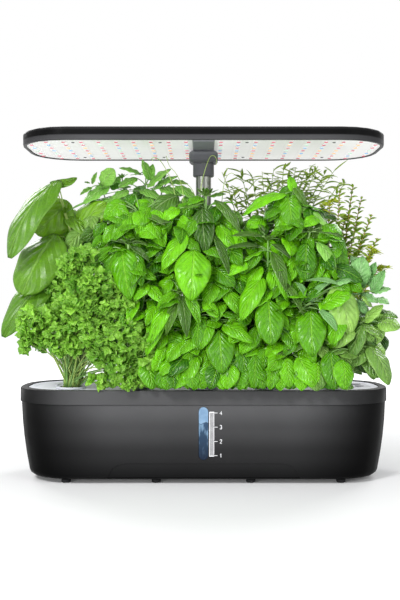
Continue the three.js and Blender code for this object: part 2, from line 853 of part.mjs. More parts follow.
// width: half width as a share of the length; rise: angle at the stem; droop: how far the tip turns down
const broadLeaf = { stations: [[0.14, 0.12], [0.4, 1], [0.75, 0.75]], width: 0.3, thick: 1.6, curl: 0.3 };
const smallLeaf = { stations: [[0.5, 1]], width: 0.3, thick: 1.4, curl: 0.1 };
const needleLeaf = { stations: [[0.5, 1]], width: 0.06, thick: 1.6, curl: 0 };
const species = {
  basil: { ...broadLeaf, pairs: 3, from: 0.36, length: 70, rise: 0.35, droop: 1.9, stem: 1.7 },
  largeBasil: { ...broadLeaf, pairs: 3, from: 0.45, length: 96, rise: 0.5, droop: 1.9, stem: 2 },
  mint: { ...smallLeaf, pairs: 4, from: 0.35, length: 46, rise: 0.5, droop: 0.8, stem: 1.3 },
  parsley: { ...smallLeaf, width: 0.42, pairs: 3, from: 0.5, length: 40, rise: 0.5, droop: 0.7, stem: 1.1 },
  tarragon: { ...needleLeaf, pairs: 4, from: 0.35, length: 48, rise: 0.9, droop: 0.4, stem: 1 },
  thyme: { ...smallLeaf, pairs: 4, from: 0.35, length: 24, rise: 0.6, droop: 0.5, stem: 1 },
};

// Stems are [across, outwards, share of the headroom]: how far the tip lies from the pod along X and
// towards the nearer long side, and how high it stands. turn is the first pair's direction in degrees.
const plants = [
  { name: "parsley", pod: 0, kind: "parsley", turn: 20, stems: [[-42, 22, 0.32], [-12, 34, 0.42], [30, 30, 0.36], [-26, -8, 0.5],
    [18, 6, 0.52]] },
  { name: "basil_front_left", pod: 1, kind: "basil", turn: 200, stems: [[-10, 14, 0.62], [20, 18, 0.44], [-2, 34, 0.3]] },
  { name: "basil_front_middle", pod: 2, kind: "basil", turn: 250, stems: [[-14, 22, 0.5], [16, 26, 0.66], [2, 36, 0.34]] },
  { name: "basil_front_right", pod: 3, kind: "basil", turn: 230, stems: [[-18, 20, 0.6], [16, 2, 0.84], [14, 32, 0.38]] },
  { name: "basil_right_end", pod: 4, kind: "basil", turn: 285, stems: [[-16, 24, 0.48], [27, 10, 0.44], [38, 24, 0.26]] },
  { name: "basil_left_end", pod: 5, kind: "largeBasil", turn: 185, stems: [[-18, -4, 0.78], [-30, 8, 0.52], [16, 12, 0.62]] },
  { name: "mint", pod: 6, kind: "mint", turn: 176, stems: [[-4, 10, 0.9], [20, 2, 0.8], [-28, 6, 0.74]] },
  { name: "lemon_balm", pod: 7, kind: "mint", turn: 200, stems: [[-22, 8, 0.86], [14, 16, 0.72], [-8, 26, 0.6]] },
  { name: "tarragon", pod: 8, kind: "tarragon", turn: 90, stems: [[-42, 6, 0.74], [-14, 12, 0.88], [10, 4, 0.9], [34, 16, 0.78]] },
  { name: "thyme", pod: 9, kind: "thyme", turn: 60, stems: [[-10, 8, 0.76], [14, 2, 0.84], [38, 6, 0.66], [30, 20, 0.5]] },
];

// A point on a leaf's midrib and its directions there, for a leaf that turns down by droop
function midrib({ base, azimuth, rise, droop, length }, t) {
  const angle = rise - droop * t;
  const along = (length * (Math.sin(rise) - Math.sin(angle))) / droop;
  const up = (length * (Math.cos(angle) - Math.cos(rise))) / droop;
  const heading = new THREE.Vector3(Math.cos(azimuth), Math.sin(azimuth), 0);
  const point = base.clone().addScaledVector(heading, along).add(new THREE.Vector3(0, 0, up));
  const forward = heading.clone().multiplyScalar(Math.cos(angle)).setZ(Math.sin(angle));
  const side = new THREE.Vector3(-Math.sin(azimuth), Math.cos(azimuth), 0);
  return { point, side, normal: forward.clone().cross(side) };
}

// The rings of a leaf's section from its stem to its tip: underside, one edge, midrib, other edge
function leafRings(leaf, grow = 0) {
  return leaf.stations.map(([t, share]) => {
    const { point, side, normal } = midrib(leaf, t);
    const wide = leaf.length * leaf.width * share + grow;
    const edge = point.clone().addScaledVector(normal, -leaf.curl * wide);
    const thick = leaf.thick / 2 + grow;
    return [
      point.clone().addScaledVector(normal, -thick),
      edge.clone().addScaledVector(side, wide),
      point.clone().addScaledVector(normal, thick),
      edge.clone().addScaledVector(side, -wide),
    ];
  });
}

// A surface that is built up ring by ring, with four points to a ring
class Sprout {
  positions = [];
  faces = [];

  point(at) {
    this.positions.push(at.x, at.y, at.z);
    return this.positions.length / 3 - 1;
  }

  band(low, high) {
    low.forEach((corner, i) => {
      const next = (i + 1) % low.length;
      this.faces.push(corner, low[next], high[next], corner, high[next], high[i]);
    });
  }

  close(ring, tip) {
    ring.forEach((corner, i) => this.faces.push(corner, ring[(i + 1) % ring.length], tip));
  }

  // A leaf that grows out of the four corners of a face
  leaf(corners, leaf) {
    let low = corners;
    leafRings(leaf).forEach((ring) => {
      const high = ring.map((at) => this.point(at));
      this.band(low, high);
      low = high;
    });
    this.close(low, this.point(midrib(leaf, 1).point));
  }

  solid() {
    return toSolid(surface(this.positions, this.faces));
  }
}

// One leaf alone and a little larger, to test its room with
function leafRoom(leaf, grow) {
  const sprout = new Sprout();
  const [first, ...rest] = leafRings(leaf, grow).map((ring) => ring.map((at) => sprout.point(at)));
  sprout.close([...first].reverse(), sprout.point(midrib(leaf, 0.04).point));
  let low = first;
  rest.forEach((high) => {
    sprout.band(low, high);
    low = high;
  });
  sprout.close(low, sprout.point(midrib(leaf, 1 + grow / leaf.length).point));
  return sprout.solid();
}

function boxesMeet(a, b) {
  return [0, 1, 2].every((k) => a.min[k] <= b.max[k] && b.min[k] <= a.max[k]);
}

const boxed = (solid) => ({ solid, box: solid.boundingBox() });

function touches(solid, others) {
  const box = solid.boundingBox();
  return others.some((other) => boxesMeet(box, other.box) && solid.intersect(other.solid).volume() > 0);
}

function stemCurves({ pod, stems }) {
  const [podX, podY] = podPlaces[pod];
  const outwards = Math.sign(podY);
  const foot = deckTop + spongeTop + seat + crownHeight / 2;
  return stems.map(([across, out, share], i) => {
    const spread = (2 * half * i) / stems.length;
    const start = [podX + crownRadius * 0.5 * Math.cos(spread), podY + crownRadius * 0.5 * Math.sin(spread), foot];
    const bend = [podX + across * 0.45, podY + outwards * out * 0.45, deckTop + share * headroom * 0.6];
    const tip = [podX + across, podY + outwards * out, deckTop + share * headroom];
    const [a, b, c] = [start, bend, tip].map((at) => new THREE.Vector3(...at));
    return new THREE.QuadraticBezierCurve3(a, b, c);
  });
}

// The four corners of a stem at t: the faces between them look along turn and the quarter turns from it
function stemRing(curve, t, radius, turn) {
  const centre = curve.getPoint(t);
  const tangent = curve.getTangent(t);
  const first = new THREE.Vector3(Math.cos(turn), Math.sin(turn), 0);
  first.addScaledVector(tangent, -first.dot(tangent)).normalize();
  const second = tangent.clone().cross(first);
  return [[1, -1], [1, 1], [-1, 1], [-1, -1]].map(([along, across]) =>
    centre.clone().addScaledVector(first, (along * radius) / 2).addScaledVector(second, (across * radius) / 2),
  );
}

// The places on a stem where a pair of leaves stands, and the plain stretches between them
function stemLevels({ from, pairs }, radius, length) {
  const step = (1 - from) / pairs;
  const node = Math.min((2 * radius) / length, step * 0.4);
  const levels = [{ t: 0 }, { t: from / 2 }];
  for (let pair = 0; pair < pairs; pair++) {
    levels.push({ t: from + pair * step, pair });
    levels.push({ t: from + pair * step + node });
  }
  levels.push({ t: 1 });
  return levels;
}

function growStem(curve, kind, turn, fits) {
  const sprout = new Sprout();
  const levels = stemLevels(kind, kind.stem, curve.getLength());
  const rings = levels.map(({ t }) => stemRing(curve, t, kind.stem * (2.2 - 0.8 * t), turn).map((at) => sprout.point(at)));
  levels.slice(0, -1).forEach(({ t, pair }, k) => {
    for (let side = 0; side < 4; side++) {
      const next = (side + 1) % 4;
      const corners = [rings[k][side], rings[k][next], rings[k + 1][next], rings[k + 1][side]];
      const azimuth = turn + side * quarter;
      const size = 1 - 0.4 * t * t;
      const wanted = { ...kind, base: curve.getPoint(t), azimuth, length: kind.length * size };
      const leaf = pair !== undefined && side % 2 === pair % 2 ? fits(wanted) : null;
      if (leaf) sprout.leaf(corners, leaf);
      else sprout.faces.push(corners[0], corners[1], corners[2], corners[0], corners[2], corners[3]);
    }
  });
  const [a, b, c, d] = rings[0];
  sprout.faces.push(a, d, c, a, c, b);
  const top = rings[rings.length - 1];
  const last = fits({ ...kind, base: curve.getPoint(1), azimuth: turn + 0.6, rise: kind.rise + 0.5, length: kind.length * 0.5 });
  if (last) sprout.leaf([top[2], top[3], top[0], top[1]], last);
  else sprout.faces.push(top[0], top[1], top[2], top[0], top[2], top[3]);
  return sprout.solid();
}

// The plants are grown one after another, and each leaf keeps clear of all that stands already
function growHerbs(standing) {
  const bare = plants.map((plant) => {
    const kind = species[plant.kind];
    const leafless = { ...kind, pairs: 1 };
    const curves = stemCurves(plant);
    return { plant, kind, curves, stems: curves.map((curve) => boxed(growStem(curve, leafless, 0, () => null))) };
  });
  return bare.map(({ plant, kind, curves }) => {
    const foot = deckTop + spongeTop + seat;
    const [podX, podY] = podPlaces[plant.pod];
    const others = [...standing, ...bare.filter((herb) => herb.plant !== plant).flatMap((herb) => herb.stems)];
    const ownStems = bare.find((herb) => herb.plant === plant).stems;
    const leaves = [];
    let solid = moved(disc(crownRadius, foot, foot + crownHeight, 8), { at: [podX, podY, 0] });
    curves.forEach((curve, s) => {
      const around = [...others, ...ownStems.filter((_, other) => other !== s)];
      const fits = (wanted) => {
        for (let size = 1; size > smallestLeaf; size *= shrinkStep) {
          const leaf = { ...wanted, length: wanted.length * size };
          const room = leafRoom(leaf, leafGap);
          if (touches(room, around) || touches(room, leaves)) continue;
          leaves.push(boxed(leafRoom(leaf, 0)));
          return leaf;
        }
        return null;
      };
      solid = solid.add(growStem(curve, kind, (plant.turn * half) / 180 + s * 2.4, fits));
    });
    standing.push(...leaves);
    return { plant, solid: solid.setTolerance(finestDetail) };
  });
}

const garden = new THREE.Group();
const add = (name, solid, material, at) => garden.add(meshOf(name, solid, material, at));

add("water_tank", waterTank(), materials.tank);
add("level_window", levelWindow(), materials.window);
let footNumber = 0;
for (const y of [-footRow, footRow]) {
  for (const x of footColumns) {
    footNumber += 1;
    add("foot_" + footNumber, foot(), materials.foot, [x, y, 0]);
  }
}
add("deck_rim", deckRim(), materials.rim);
add("deck_plate", deckPlate(), materials.deck);
add("refill_lid", refillLid(), materials.deck);
add("control_panel", controlPanel(), materials.panel);
add("control_board", controlBoard(), materials.circuit);
add("power_button", button(), materials.button, [controlMiddle, buttonPlaces[0], 0]);
add("mode_button", button(), materials.button, [controlMiddle, buttonPlaces[1], 0]);
add("power_inlet", powerInlet(), materials.inlet);
podPlaces.forEach(([x, y], i) => {
  add("pod_basket_" + (i + 1), basket(), materials.basket, [x, y, deckTop]);
  add("grow_sponge_" + (i + 1), sponge(), materials.sponge, [x, y, deckTop]);
});
add("mast_socket", mastSocket(), materials.hub);
add("lower_tube", lowerTube(), materials.tube);
add("tube_collar", tubeCollar(), materials.hub);
add("upper_tube", upperTube(), materials.tube);
add("lamp_hub", lampHub(), materials.hub);
add("lamp_cover", lampCover(), materials.lamp);
add("led_board", ledBoard(), materials.board);
add("spine_cover", spineCover(), materials.hub);
add("pump_body", pumpBody(), materials.pump);
add("pump_cover", pumpCover(), materials.pump);
add("impeller", impeller(), materials.impeller);
add("riser_pipe", riserPipe(), materials.pump);


// What the herbs keep clear of, with the room that the refill lid sweeps
const lidSweep = block(lidMiddle - lidHalfX - 4, lidMiddle + lidHalfX + 2, -lidHalfY - 2, lidHalfY + 2,
  deckTop, deckTop + 2 * lidHalfX + 4);
const lampSpace = aroundPlan(lamp, [[AXIS, lampBottom - ledThick], [0, lampBottom - ledThick], [0, lampTop], [AXIS, lampTop]]);
const deckSpace = aroundPlan(pot, [[AXIS, tankFloor], [0, tankFloor], [0, rimTop], [AXIS, rimTop]]);
const mastSpace = disc(collarRadius, deckTop, lampBottom);
const standing = [lidSweep, lampSpace, deckSpace, mastSpace, mastSocket(), lampHub(), spineCover()].map(boxed);
growHerbs(standing).forEach(({ plant, solid }) => {
  add(plant.name, solid, materials.leaf);
});

export default garden;
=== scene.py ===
import json
import math
import random
from collections import namedtuple

import bpy
import numpy as np
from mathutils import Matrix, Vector


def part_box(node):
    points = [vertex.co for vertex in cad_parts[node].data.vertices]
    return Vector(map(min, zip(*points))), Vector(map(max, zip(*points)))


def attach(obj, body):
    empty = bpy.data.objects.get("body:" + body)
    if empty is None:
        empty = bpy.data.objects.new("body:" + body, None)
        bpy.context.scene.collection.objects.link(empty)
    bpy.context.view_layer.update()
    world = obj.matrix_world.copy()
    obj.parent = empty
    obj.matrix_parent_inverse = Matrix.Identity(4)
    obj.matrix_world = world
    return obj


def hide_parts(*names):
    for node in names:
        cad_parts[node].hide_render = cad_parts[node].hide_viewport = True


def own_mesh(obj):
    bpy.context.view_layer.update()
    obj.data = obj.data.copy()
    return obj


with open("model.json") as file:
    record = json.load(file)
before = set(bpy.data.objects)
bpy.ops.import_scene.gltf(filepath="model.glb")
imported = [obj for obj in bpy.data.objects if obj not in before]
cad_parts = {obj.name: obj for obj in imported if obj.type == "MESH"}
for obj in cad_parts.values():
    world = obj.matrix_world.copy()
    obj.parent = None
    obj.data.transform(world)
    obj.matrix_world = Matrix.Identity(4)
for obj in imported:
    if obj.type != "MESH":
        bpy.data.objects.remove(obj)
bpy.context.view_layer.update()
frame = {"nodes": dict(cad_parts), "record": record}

nodes = frame["nodes"]
scene = bpy.context.scene
MM = 0.001
TURN = 2 * math.pi
UP = Vector((0, 0, 1))
LIGHT_PITCH = 0.0198
HERBS = [
    "parsley", "basil_front_left", "basil_front_middle", "basil_front_right", "basil_right_end",
    "basil_left_end", "mint", "lemon_balm", "tarragon", "thyme",
]

# Materials


class Nodes:
    """A node tree, with short calls that make a node, feed its sockets and give back its output."""

    def __init__(self, owner):
        owner.use_nodes = True
        self.tree = owner.node_tree
        self.tree.nodes.clear()

    def node(self, kind, sockets=(), **settings):
        """A new node with its settings, its sockets fed by number or by name."""
        made = self.tree.nodes.new(kind)
        for key, value in settings.items():
            setattr(made, key, value)
        for socket, value in dict(sockets).items():
            self.feed(made.inputs[socket], value)
        return made

    def feed(self, socket, value):
        """Links an output to a socket, or sets the socket to a number, a place or a colour."""
        if isinstance(value, bpy.types.NodeSocket):
            self.tree.links.new(value, socket)
        elif isinstance(value, tuple) and socket.type == "RGBA":
            socket.default_value = (*value, 1)
        else:
            socket.default_value = value

    def math(self, operation, a, b=0.0):
        return self.node("ShaderNodeMath", {0: a, 1: b}, operation=operation).outputs[0]

    def plus(self, a, b):
        return self.math("ADD", a, b)

    def minus(self, a, b):
        return self.math("SUBTRACT", a, b)

    def times(self, a, b):
        return self.math("MULTIPLY", a, b)

    def mix(self, factor, a, b, blend="MIX"):
        sockets = {0: factor, 6: a, 7: b}
        return self.node("ShaderNodeMix", sockets, data_type="RGBA", blend_type=blend).outputs[2]

    def span(self, value, low, high, to_low=0.0, to_high=1.0, smooth=False):
        """Maps low..high to to_low..to_high, held at both ends."""
        sockets = {0: value, 1: low, 2: high, 3: to_low, 4: to_high}
        kind = "SMOOTHSTEP" if smooth else "LINEAR"
        return self.node("ShaderNodeMapRange", sockets, interpolation_type=kind).outputs[0]


class Paint(Nodes):
    """A procedural material: one Principled shader, and calls for the textures that feed it."""

    def __init__(self, name, roughness=0.5, metallic=0.0, specular=0.5, coat=0.0):
        self.material = bpy.data.materials.new(name)
        super().__init__(self.material)
        self.output = self.node("ShaderNodeOutputMaterial").inputs["Surface"]
        gloss = {"Roughness": roughness, "Specular IOR Level": specular, "Coat Weight": coat}
        self.shader = self.node("ShaderNodeBsdfPrincipled", {"Metallic": metallic, **gloss})
        self.feed(self.output, self.shader.outputs[0])
        self.where = self.node("ShaderNodeTexCoord").outputs["Object"]

    def set(self, socket, value):
        self.feed(self.shader.inputs[socket], value)

    def stretched(self, scale, turn=(0, 0, 0)):
        """Places in the object, scaled and turned."""
        sockets = {"Vector": self.where, "Scale": scale, "Rotation": turn}
        return self.node("ShaderNodeMapping", sockets).outputs[0]

    def noise(self, scale, detail, rough=0.5, vector=None):
        sockets = {"Vector": vector or self.where, "Scale": scale, "Detail": detail, "Roughness": rough}
        return self.node("ShaderNodeTexNoise", sockets).outputs["Fac"]

    def cells(self, scale, feature="F1"):
        sockets = {"Vector": self.where, "Scale": scale}
        return self.node("ShaderNodeTexVoronoi", sockets, feature=feature).outputs["Distance"]

    def axis(self, letter, vector=None):
        return self.node("ShaderNodeSeparateXYZ", {0: vector or self.where}).outputs[letter]

    def bump(self, height, distance):
        sockets = {"Strength": 1.0, "Distance": distance, "Height": height}
        normal = self.node("ShaderNodeBump", sockets).outputs[0]
        self.set("Normal", normal)
        return normal


def toned(color, by):
    """A colour made darker or lighter."""
    return tuple(min(c * by, 1) for c in color)


def moulded(name, color, roughness, grain, cloud, shade=None, painted_end_shade=None, **gloss):
    """Moulded plastic: a fine eroded grain, slow colour clouds and handled patches of gloss. shade is a list
    of (height, share) pairs of painted light and shade, between which the colour deepens or clears with
    height, and the argument after it, (from, to, share), is painted shade that deepens it towards both ends."""
    paint = Paint(name, **gloss)
    clouds = paint.span(paint.noise(14, 4), 0.35, 0.65)
    base = paint.mix(clouds, toned(color, 1 - cloud), toned(color, 1 + cloud))
    # Painted light and shade: the colour multiplied by a share that changes with height, and by painted shade
    # towards both ends
    if shade:
        z = paint.axis("Z")
        share = shade[0][1]
        for (z0, s0), (z1, s1) in zip(shade, shade[1:]):
            share = paint.plus(share, paint.span(z, z0, z1, 0, s1 - s0, smooth=True))
        if painted_end_shade:
            near, far, most = painted_end_shade
            reach = paint.math("ABSOLUTE", paint.axis("X"))
            share = paint.times(share, paint.span(reach, near, far, 1, most, smooth=True))
        tone = paint.node("ShaderNodeCombineColor", {0: share, 1: share, 2: share}).outputs[0]
        base = paint.mix(1.0, base, tone, "MULTIPLY")
    paint.set("Base Color", base)
    paint.set("Roughness", paint.span(paint.noise(38, 5, 0.6), 0.3, 0.7, roughness - 0.05, roughness + 0.06))
    paint.bump(paint.plus(paint.noise(900, 3, 0.6), paint.times(paint.cells(2600), 0.6)), grain)
    return paint.material


def drawn_metal(name, color, roughness):
    """A satin drawn tube: fine lengthwise lines and a slow change of gloss."""
    paint = Paint(name, metallic=0.9)
    lines = paint.noise(1, 2, 0.5, paint.stretched((4200, 4200, 28)))
    paint.set("Base Color", paint.mix(lines, toned(color, 0.8), color))
    paint.set("Roughness", paint.span(lines, 0.3, 0.7, roughness - 0.06, roughness + 0.07))
    paint.bump(lines, 0.000006)
    return paint.material


def sponge_paint():
    """Damp, brown, crumbly foam with open pores."""
    paint = Paint("growing_sponge", roughness=0.95, specular=0.15)
    crumbs = paint.noise(900, 6, 0.7)
    brown = paint.mix(crumbs, (0.022, 0.013, 0.008), (0.10, 0.06, 0.03))
    damp = paint.span(paint.noise(60, 3), 0.4, 0.65)
    paint.set("Base Color", paint.mix(damp, brown, (0.018, 0.013, 0.008)))
    paint.bump(paint.plus(paint.cells(520, "SMOOTH_F1"), paint.times(crumbs, 0.5)), 0.0016)
    return paint.material


def board_paint():
    """White solder mask with faint copper runs under it, one run between each two lights, and a faint painted
    glow that whitens it.
    """
    paint = Paint("lamp_board", roughness=0.36)
    run_half = 0.0009
    runs = [paint.math("PINGPONG", paint.plus(paint.axis(letter), 0.5), LIGHT_PITCH / 2) for letter in "XY"]
    near = paint.math("LESS_THAN", paint.math("MINIMUM", *runs), run_half)
    white = paint.mix(paint.noise(22, 3), (0.60, 0.59, 0.60), (0.66, 0.65, 0.66))
    paint.set("Base Color", paint.mix(paint.times(near, 0.35), white, (0.52, 0.50, 0.52)))
    paint.bump(paint.plus(near, paint.times(paint.noise(1400, 2), 0.3)), 0.00002)
    # Painted light: a faint glow from the board itself, which whitens it
    paint.set("Emission Color", (1.0, 0.97, 0.96))
    paint.set("Emission Strength", 0.25)
    return paint.material


def water_paint():
    """The level window: light above a wavy waterline; below it a blue darkened towards the bottom by painted
    shade, with slanting streaks of painted light.
    """
    paint = Paint("level_window", roughness=0.16, specular=0.3, coat=0.1)
    waterline = 0.0695
    z = paint.axis("Z")
    sway = paint.times(paint.math("SINE", paint.times(paint.axis("X"), 620)), 0.0011)
    ripple = paint.times(paint.minus(paint.noise(260, 2), 0.5), 0.0026)
    level = paint.minus(z, paint.plus(paint.plus(sway, ripple), waterline))
    under = paint.span(level, 0.0006, -0.0006)
    # Painted light: slanting streaks in the water (shine); painted shade: the water darker towards the bottom
    # (depth)
    shine = paint.noise(1, 3, 0.6, paint.stretched((240, 60, 62), (0, 0.62, 0)))
    depth = paint.span(z, 0.03, 0.066)
    water = paint.mix(depth, (0.005, 0.016, 0.040), (0.026, 0.064, 0.126))
    water = paint.mix(paint.times(paint.span(shine, 0.5, 0.66), depth), water, (0.19, 0.32, 0.47))
    air = paint.mix(paint.span(paint.noise(150, 2), 0.35, 0.7), (0.17, 0.29, 0.45), (0.24, 0.38, 0.54))
    line = paint.times(paint.span(paint.math("ABSOLUTE", level), 0.0007, 0.0002), 0.6)
    paint.set("Base Color", paint.mix(line, paint.mix(under, air, water), (0.010, 0.028, 0.070)))
    paint.bump(shine, 0.00012)
    return paint.material


def glow(name, color, strength):
    """A light package: a glowing phosphor window, flecked with a darker tone."""
    paint = Paint(name, roughness=0.3)
    speck = paint.noise(2400, 3)
    paint.set("Base Color", paint.mix(speck, toned(color, 0.85), color))
    paint.set("Emission Color", paint.mix(speck, toned(color, 0.9), color))
    paint.set("Emission Strength", strength)
    return paint.material


def circuit_paint():
    """Green solder mask with paler tracks."""
    paint = Paint("circuit", roughness=0.35)
    track = paint.math("LESS_THAN", paint.cells(420, "DISTANCE_TO_EDGE"), 0.06)
    paint.set("Base Color", paint.mix(track, (0.010, 0.075, 0.028), (0.03, 0.16, 0.06)))
    paint.bump(track, 0.00003)
    return paint.material


# Painted light and shade, as (height, share) pairs: the tank lighter high up and darker low down, the rim
# even, the hub's top lightened where the lamp shades it, and on the lamp's side a painted reflection: a pale
# lip, a dark band and a grey top
TANK_PAINTED_SHADE = [(0.006, 0.30), (0.035, 0.74), (0.062, 1.55), (0.088, 2.6)]
RIM_SHADE = [(0.08, 1.1), (0.12, 1.1)]
HUB_PAINTED_LIGHT = [(0.376, 0.9), (0.386, 2.1)]
LAMP_PAINTED_REFLECTION = [(0.3850, 3.2), (0.3895, 2.8), (0.3915, 0.25), (0.3955, 0.25), (0.3990, 1.1)]
# The tuple after the shares of the tank, rim and lamp is painted shade that darkens them towards their ends
PAINT = {
    "tank": moulded("tank_plastic", (0.035, 0.035, 0.036), 0.42, 0.00003, 0.05, TANK_PAINTED_SHADE,
                    (0.09, 0.200, 0.01), specular=0.03),
    "window": water_paint(),
    "foot": moulded("foot_rubber", (0.012, 0.012, 0.013), 0.7, 0.00008, 0.2, specular=0.15),
    "rim": moulded("rim_plastic", (0.072, 0.072, 0.074), 0.38, 0.00003, 0.05, RIM_SHADE,
                   (0.12, 0.208, 0.05), specular=0.04),
    "deck": moulded("deck_plastic", (0.80, 0.81, 0.90), 0.42, 0.00003, 0.03),
    "basket": moulded("cup_plastic", (0.56, 0.57, 0.63), 0.42, 0.00004, 0.05, specular=0.3),
    "sponge": sponge_paint(),
    "tube": drawn_metal("drawn_tube", (0.20, 0.21, 0.19), 0.30),
    "hub": moulded("hub_plastic", (0.112, 0.114, 0.124), 0.5, 0.00004, 0.05, HUB_PAINTED_LIGHT, specular=0.10),
    "lamp": moulded("lamp_plastic", (0.022, 0.022, 0.023), 0.36, 0.00003, 0.05, LAMP_PAINTED_REFLECTION,
                    (0.12, 0.20, 0.6), specular=0.03),
    "board": board_paint(),
    "panel": moulded("panel_plastic", (0.50, 0.50, 0.58), 0.30, 0.00002, 0.03),
    "button": moulded("key_plastic", (0.26, 0.26, 0.30), 0.40, 0.00004, 0.04),
    "circuit": circuit_paint(),
    "inlet": moulded("inlet_plastic", (0.012, 0.012, 0.013), 0.45, 0.00005, 0.15, specular=0.3),
    "pump": moulded("pump_plastic", (0.016, 0.017, 0.019), 0.4, 0.00005, 0.1, specular=0.3),
    "impeller": moulded("impeller_plastic", (0.76, 0.76, 0.72), 0.35, 0.00003, 0.03),
}

for part in frame["record"]["subparts"]:
    slot = part["material_slot"]
    if slot in PAINT:
        materials = nodes[part["node"]].data.materials
        materials.clear()
        materials.append(PAINT[slot])

# Moulded edges, their width in millimetres

EDGE = 0.22
EDGES = {"level_window": 0.1, "led_board": 0.08, "lamp_cover": 0.25, "impeller": 0.1, "refill_lid": 0.2}
SHARP = ("control_board", "power_inlet", "grow_sponge")


def finish_edges(node, width):
    """Joins a node's faces, rounds its moulded edges and shades its curves smooth."""
    node.data.polygons.foreach_set("use_smooth", [True] * len(node.data.polygons))
    weld = node.modifiers.new("weld", "WELD")
    weld.merge_threshold = 0.01 * MM
    bevel = node.modifiers.new("round", "BEVEL")
    bevel.width = width
    bevel.segments = 2
    bevel.limit_method = "ANGLE"
    bevel.angle_limit = math.radians(37)
    bevel.use_clamp_overlap = False
    shade = node.modifiers.new("shade", "WEIGHTED_NORMAL")
    shade.weight = 60


for name, node in nodes.items():
    if name not in HERBS and not name.startswith(SHARP):
        finish_edges(node, EDGES.get(name, EDGE) * MM)

# Meshes made here


def mesh_object(name, points, faces, material, body="base", smooth=True):
    """A mesh with one material that rides on a body."""
    mesh = bpy.data.meshes.new(name)
    mesh.from_pydata([tuple(p) for p in points], [], [tuple(f) for f in faces])
    mesh.validate()
    mesh.polygons.foreach_set("use_smooth", [smooth] * len(mesh.polygons))
    mesh.materials.append(material)
    made = bpy.data.objects.new(name, mesh)
    scene.collection.objects.link(made)
    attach(made, body)
    return made


def heading(turn, rise, reach=1.0):
    """A vector that points to a turn about the upright axis, and rises."""
    return Vector((reach * math.cos(turn), reach * math.sin(turn), rise))


def rings(points, faces, sides, levels, place, down=False, foot=False):
    """Adds a ring of points for each level, the faces between them and the one that closes the last ring.
    foot closes the first ring too, and down says that the levels go downwards."""
    start = len(points)
    for level in levels:
        for k in range(sides):
            points.append(place(level, TURN * k / sides))
    for ring in range(len(levels) - 1):
        for k in range(sides):
            a = start + ring * sides + k
            b = start + ring * sides + (k + 1) % sides
            faces.append((b, a, a + sides, b + sides) if down else (a, b, b + sides, a + sides))
    first = range(start, start + sides)
    last = range(len(points) - sides, len(points))
    if foot:
        faces.append(tuple(first if down else reversed(first)))
    faces.append(tuple(reversed(last) if down else last))


# The lamp's board: its lights and its screws. A profile is (reach, drop) pairs in millimetres

LIGHT_COLUMNS = 10
LIGHT_ROWS = 7
END_ROWS = 5
LIGHT_PROFILE = ((2.15, -0.02), (2.15, 0.30), (1.5, 0.52))
LIGHT_SQUARE = 0.8
LIGHT_KINDS = {
    "red": ((0.60, 0.02, 0.08), 0.35), "rose": ((0.74, 0.07, 0.16), 0.4), "amber": ((0.90, 0.46, 0.12), 0.5),
    "pale": ((0.45, 0.78, 0.55), 0.4), "blue": ((0.10, 0.40, 0.72), 0.4),
}
LEFT_CYCLE = ["rose", "amber", "blue", "red", "pale", "amber", "rose", "blue", "red"]
RIGHT_CYCLE = ["amber", "blue", "red", "amber", "pale", "rose", "blue", "amber", "red"]
SCREW_X = (-0.1484, -0.0494, 0.0494, 0.1484)
SCREW_Y = (-0.054, 0.0545)
SCREW_SEAT = 0.0007
SCREW_PROFILE = ((1.9, 0.0), (1.9, 0.35), (1.5, 0.75), (0.5, 0.9), (0.35, 0.5))
SIDES_OF_ROUND = 12


def light_kind(column, row, side, rows):
    """The colour of a light: reds along both long sides, a cycle of colours between them."""
    if row in (0, rows - 1):
        return "red" if (column + row) % 3 else "rose"
    cycle = RIGHT_CYCLE if side > 0 else LEFT_CYCLE
    return cycle[(column * 4 + row * 2) % len(cycle)]


def light(points, faces, centre):
    """The domed window of one light package, square with round corners."""
    def place(level, turn):
        reach, drop = level
        square = reach * MM / max(abs(math.cos(turn)), abs(math.sin(turn))) ** LIGHT_SQUARE
        return centre + heading(turn, -drop * MM, square)

    rings(points, faces, SIDES_OF_ROUND, LIGHT_PROFILE, place, down=True, foot=True)


def lights():
    """The lights of both halves of the board, one mesh a colour."""
    made = {kind: ([], []) for kind in LIGHT_KINDS}
    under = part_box("led_board")[0][2]
    for side in (-1, 1):
        for column in range(LIGHT_COLUMNS):
            rows = LIGHT_ROWS if column < LIGHT_COLUMNS - 1 else END_ROWS
            x = side * LIGHT_PITCH * (column + 1)
            for row in range(rows):
                centre = Vector((x, (row - (rows - 1) / 2) * LIGHT_PITCH, under))
                light(*made[light_kind(column, row, side, rows)], centre)
    for kind, (points, faces) in made.items():
        paint = glow("light_" + kind, *LIGHT_KINDS[kind])
        mesh_object("lights_" + kind, points, faces, paint, "lamp", False)


def screw(points, faces, x, y, top):
    """A small screw with a round head and a recess."""
    def place(level, turn):
        reach, drop = level
        return x + reach * MM * math.cos(turn), y + reach * MM * math.sin(turn), top - drop * MM

    rings(points, faces, SIDES_OF_ROUND, SCREW_PROFILE, place, down=True)


def board_screws():
    """The eight screws that hold the board."""
    points, faces = [], []
    for x in SCREW_X:
        for y in SCREW_Y:
            screw(points, faces, x, y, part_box("led_board")[0][2] + SCREW_SEAT)
    steel = moulded("screw_steel", (0.16, 0.16, 0.17), 0.35, 0.00001, 0.1, metallic=0.8)
    mesh_object("board_screws", points, faces, steel, "lamp")


lights()
board_screws()

# The level scale printed beside the window, in millimetres: a white strip with dark gaps, and numbered marks

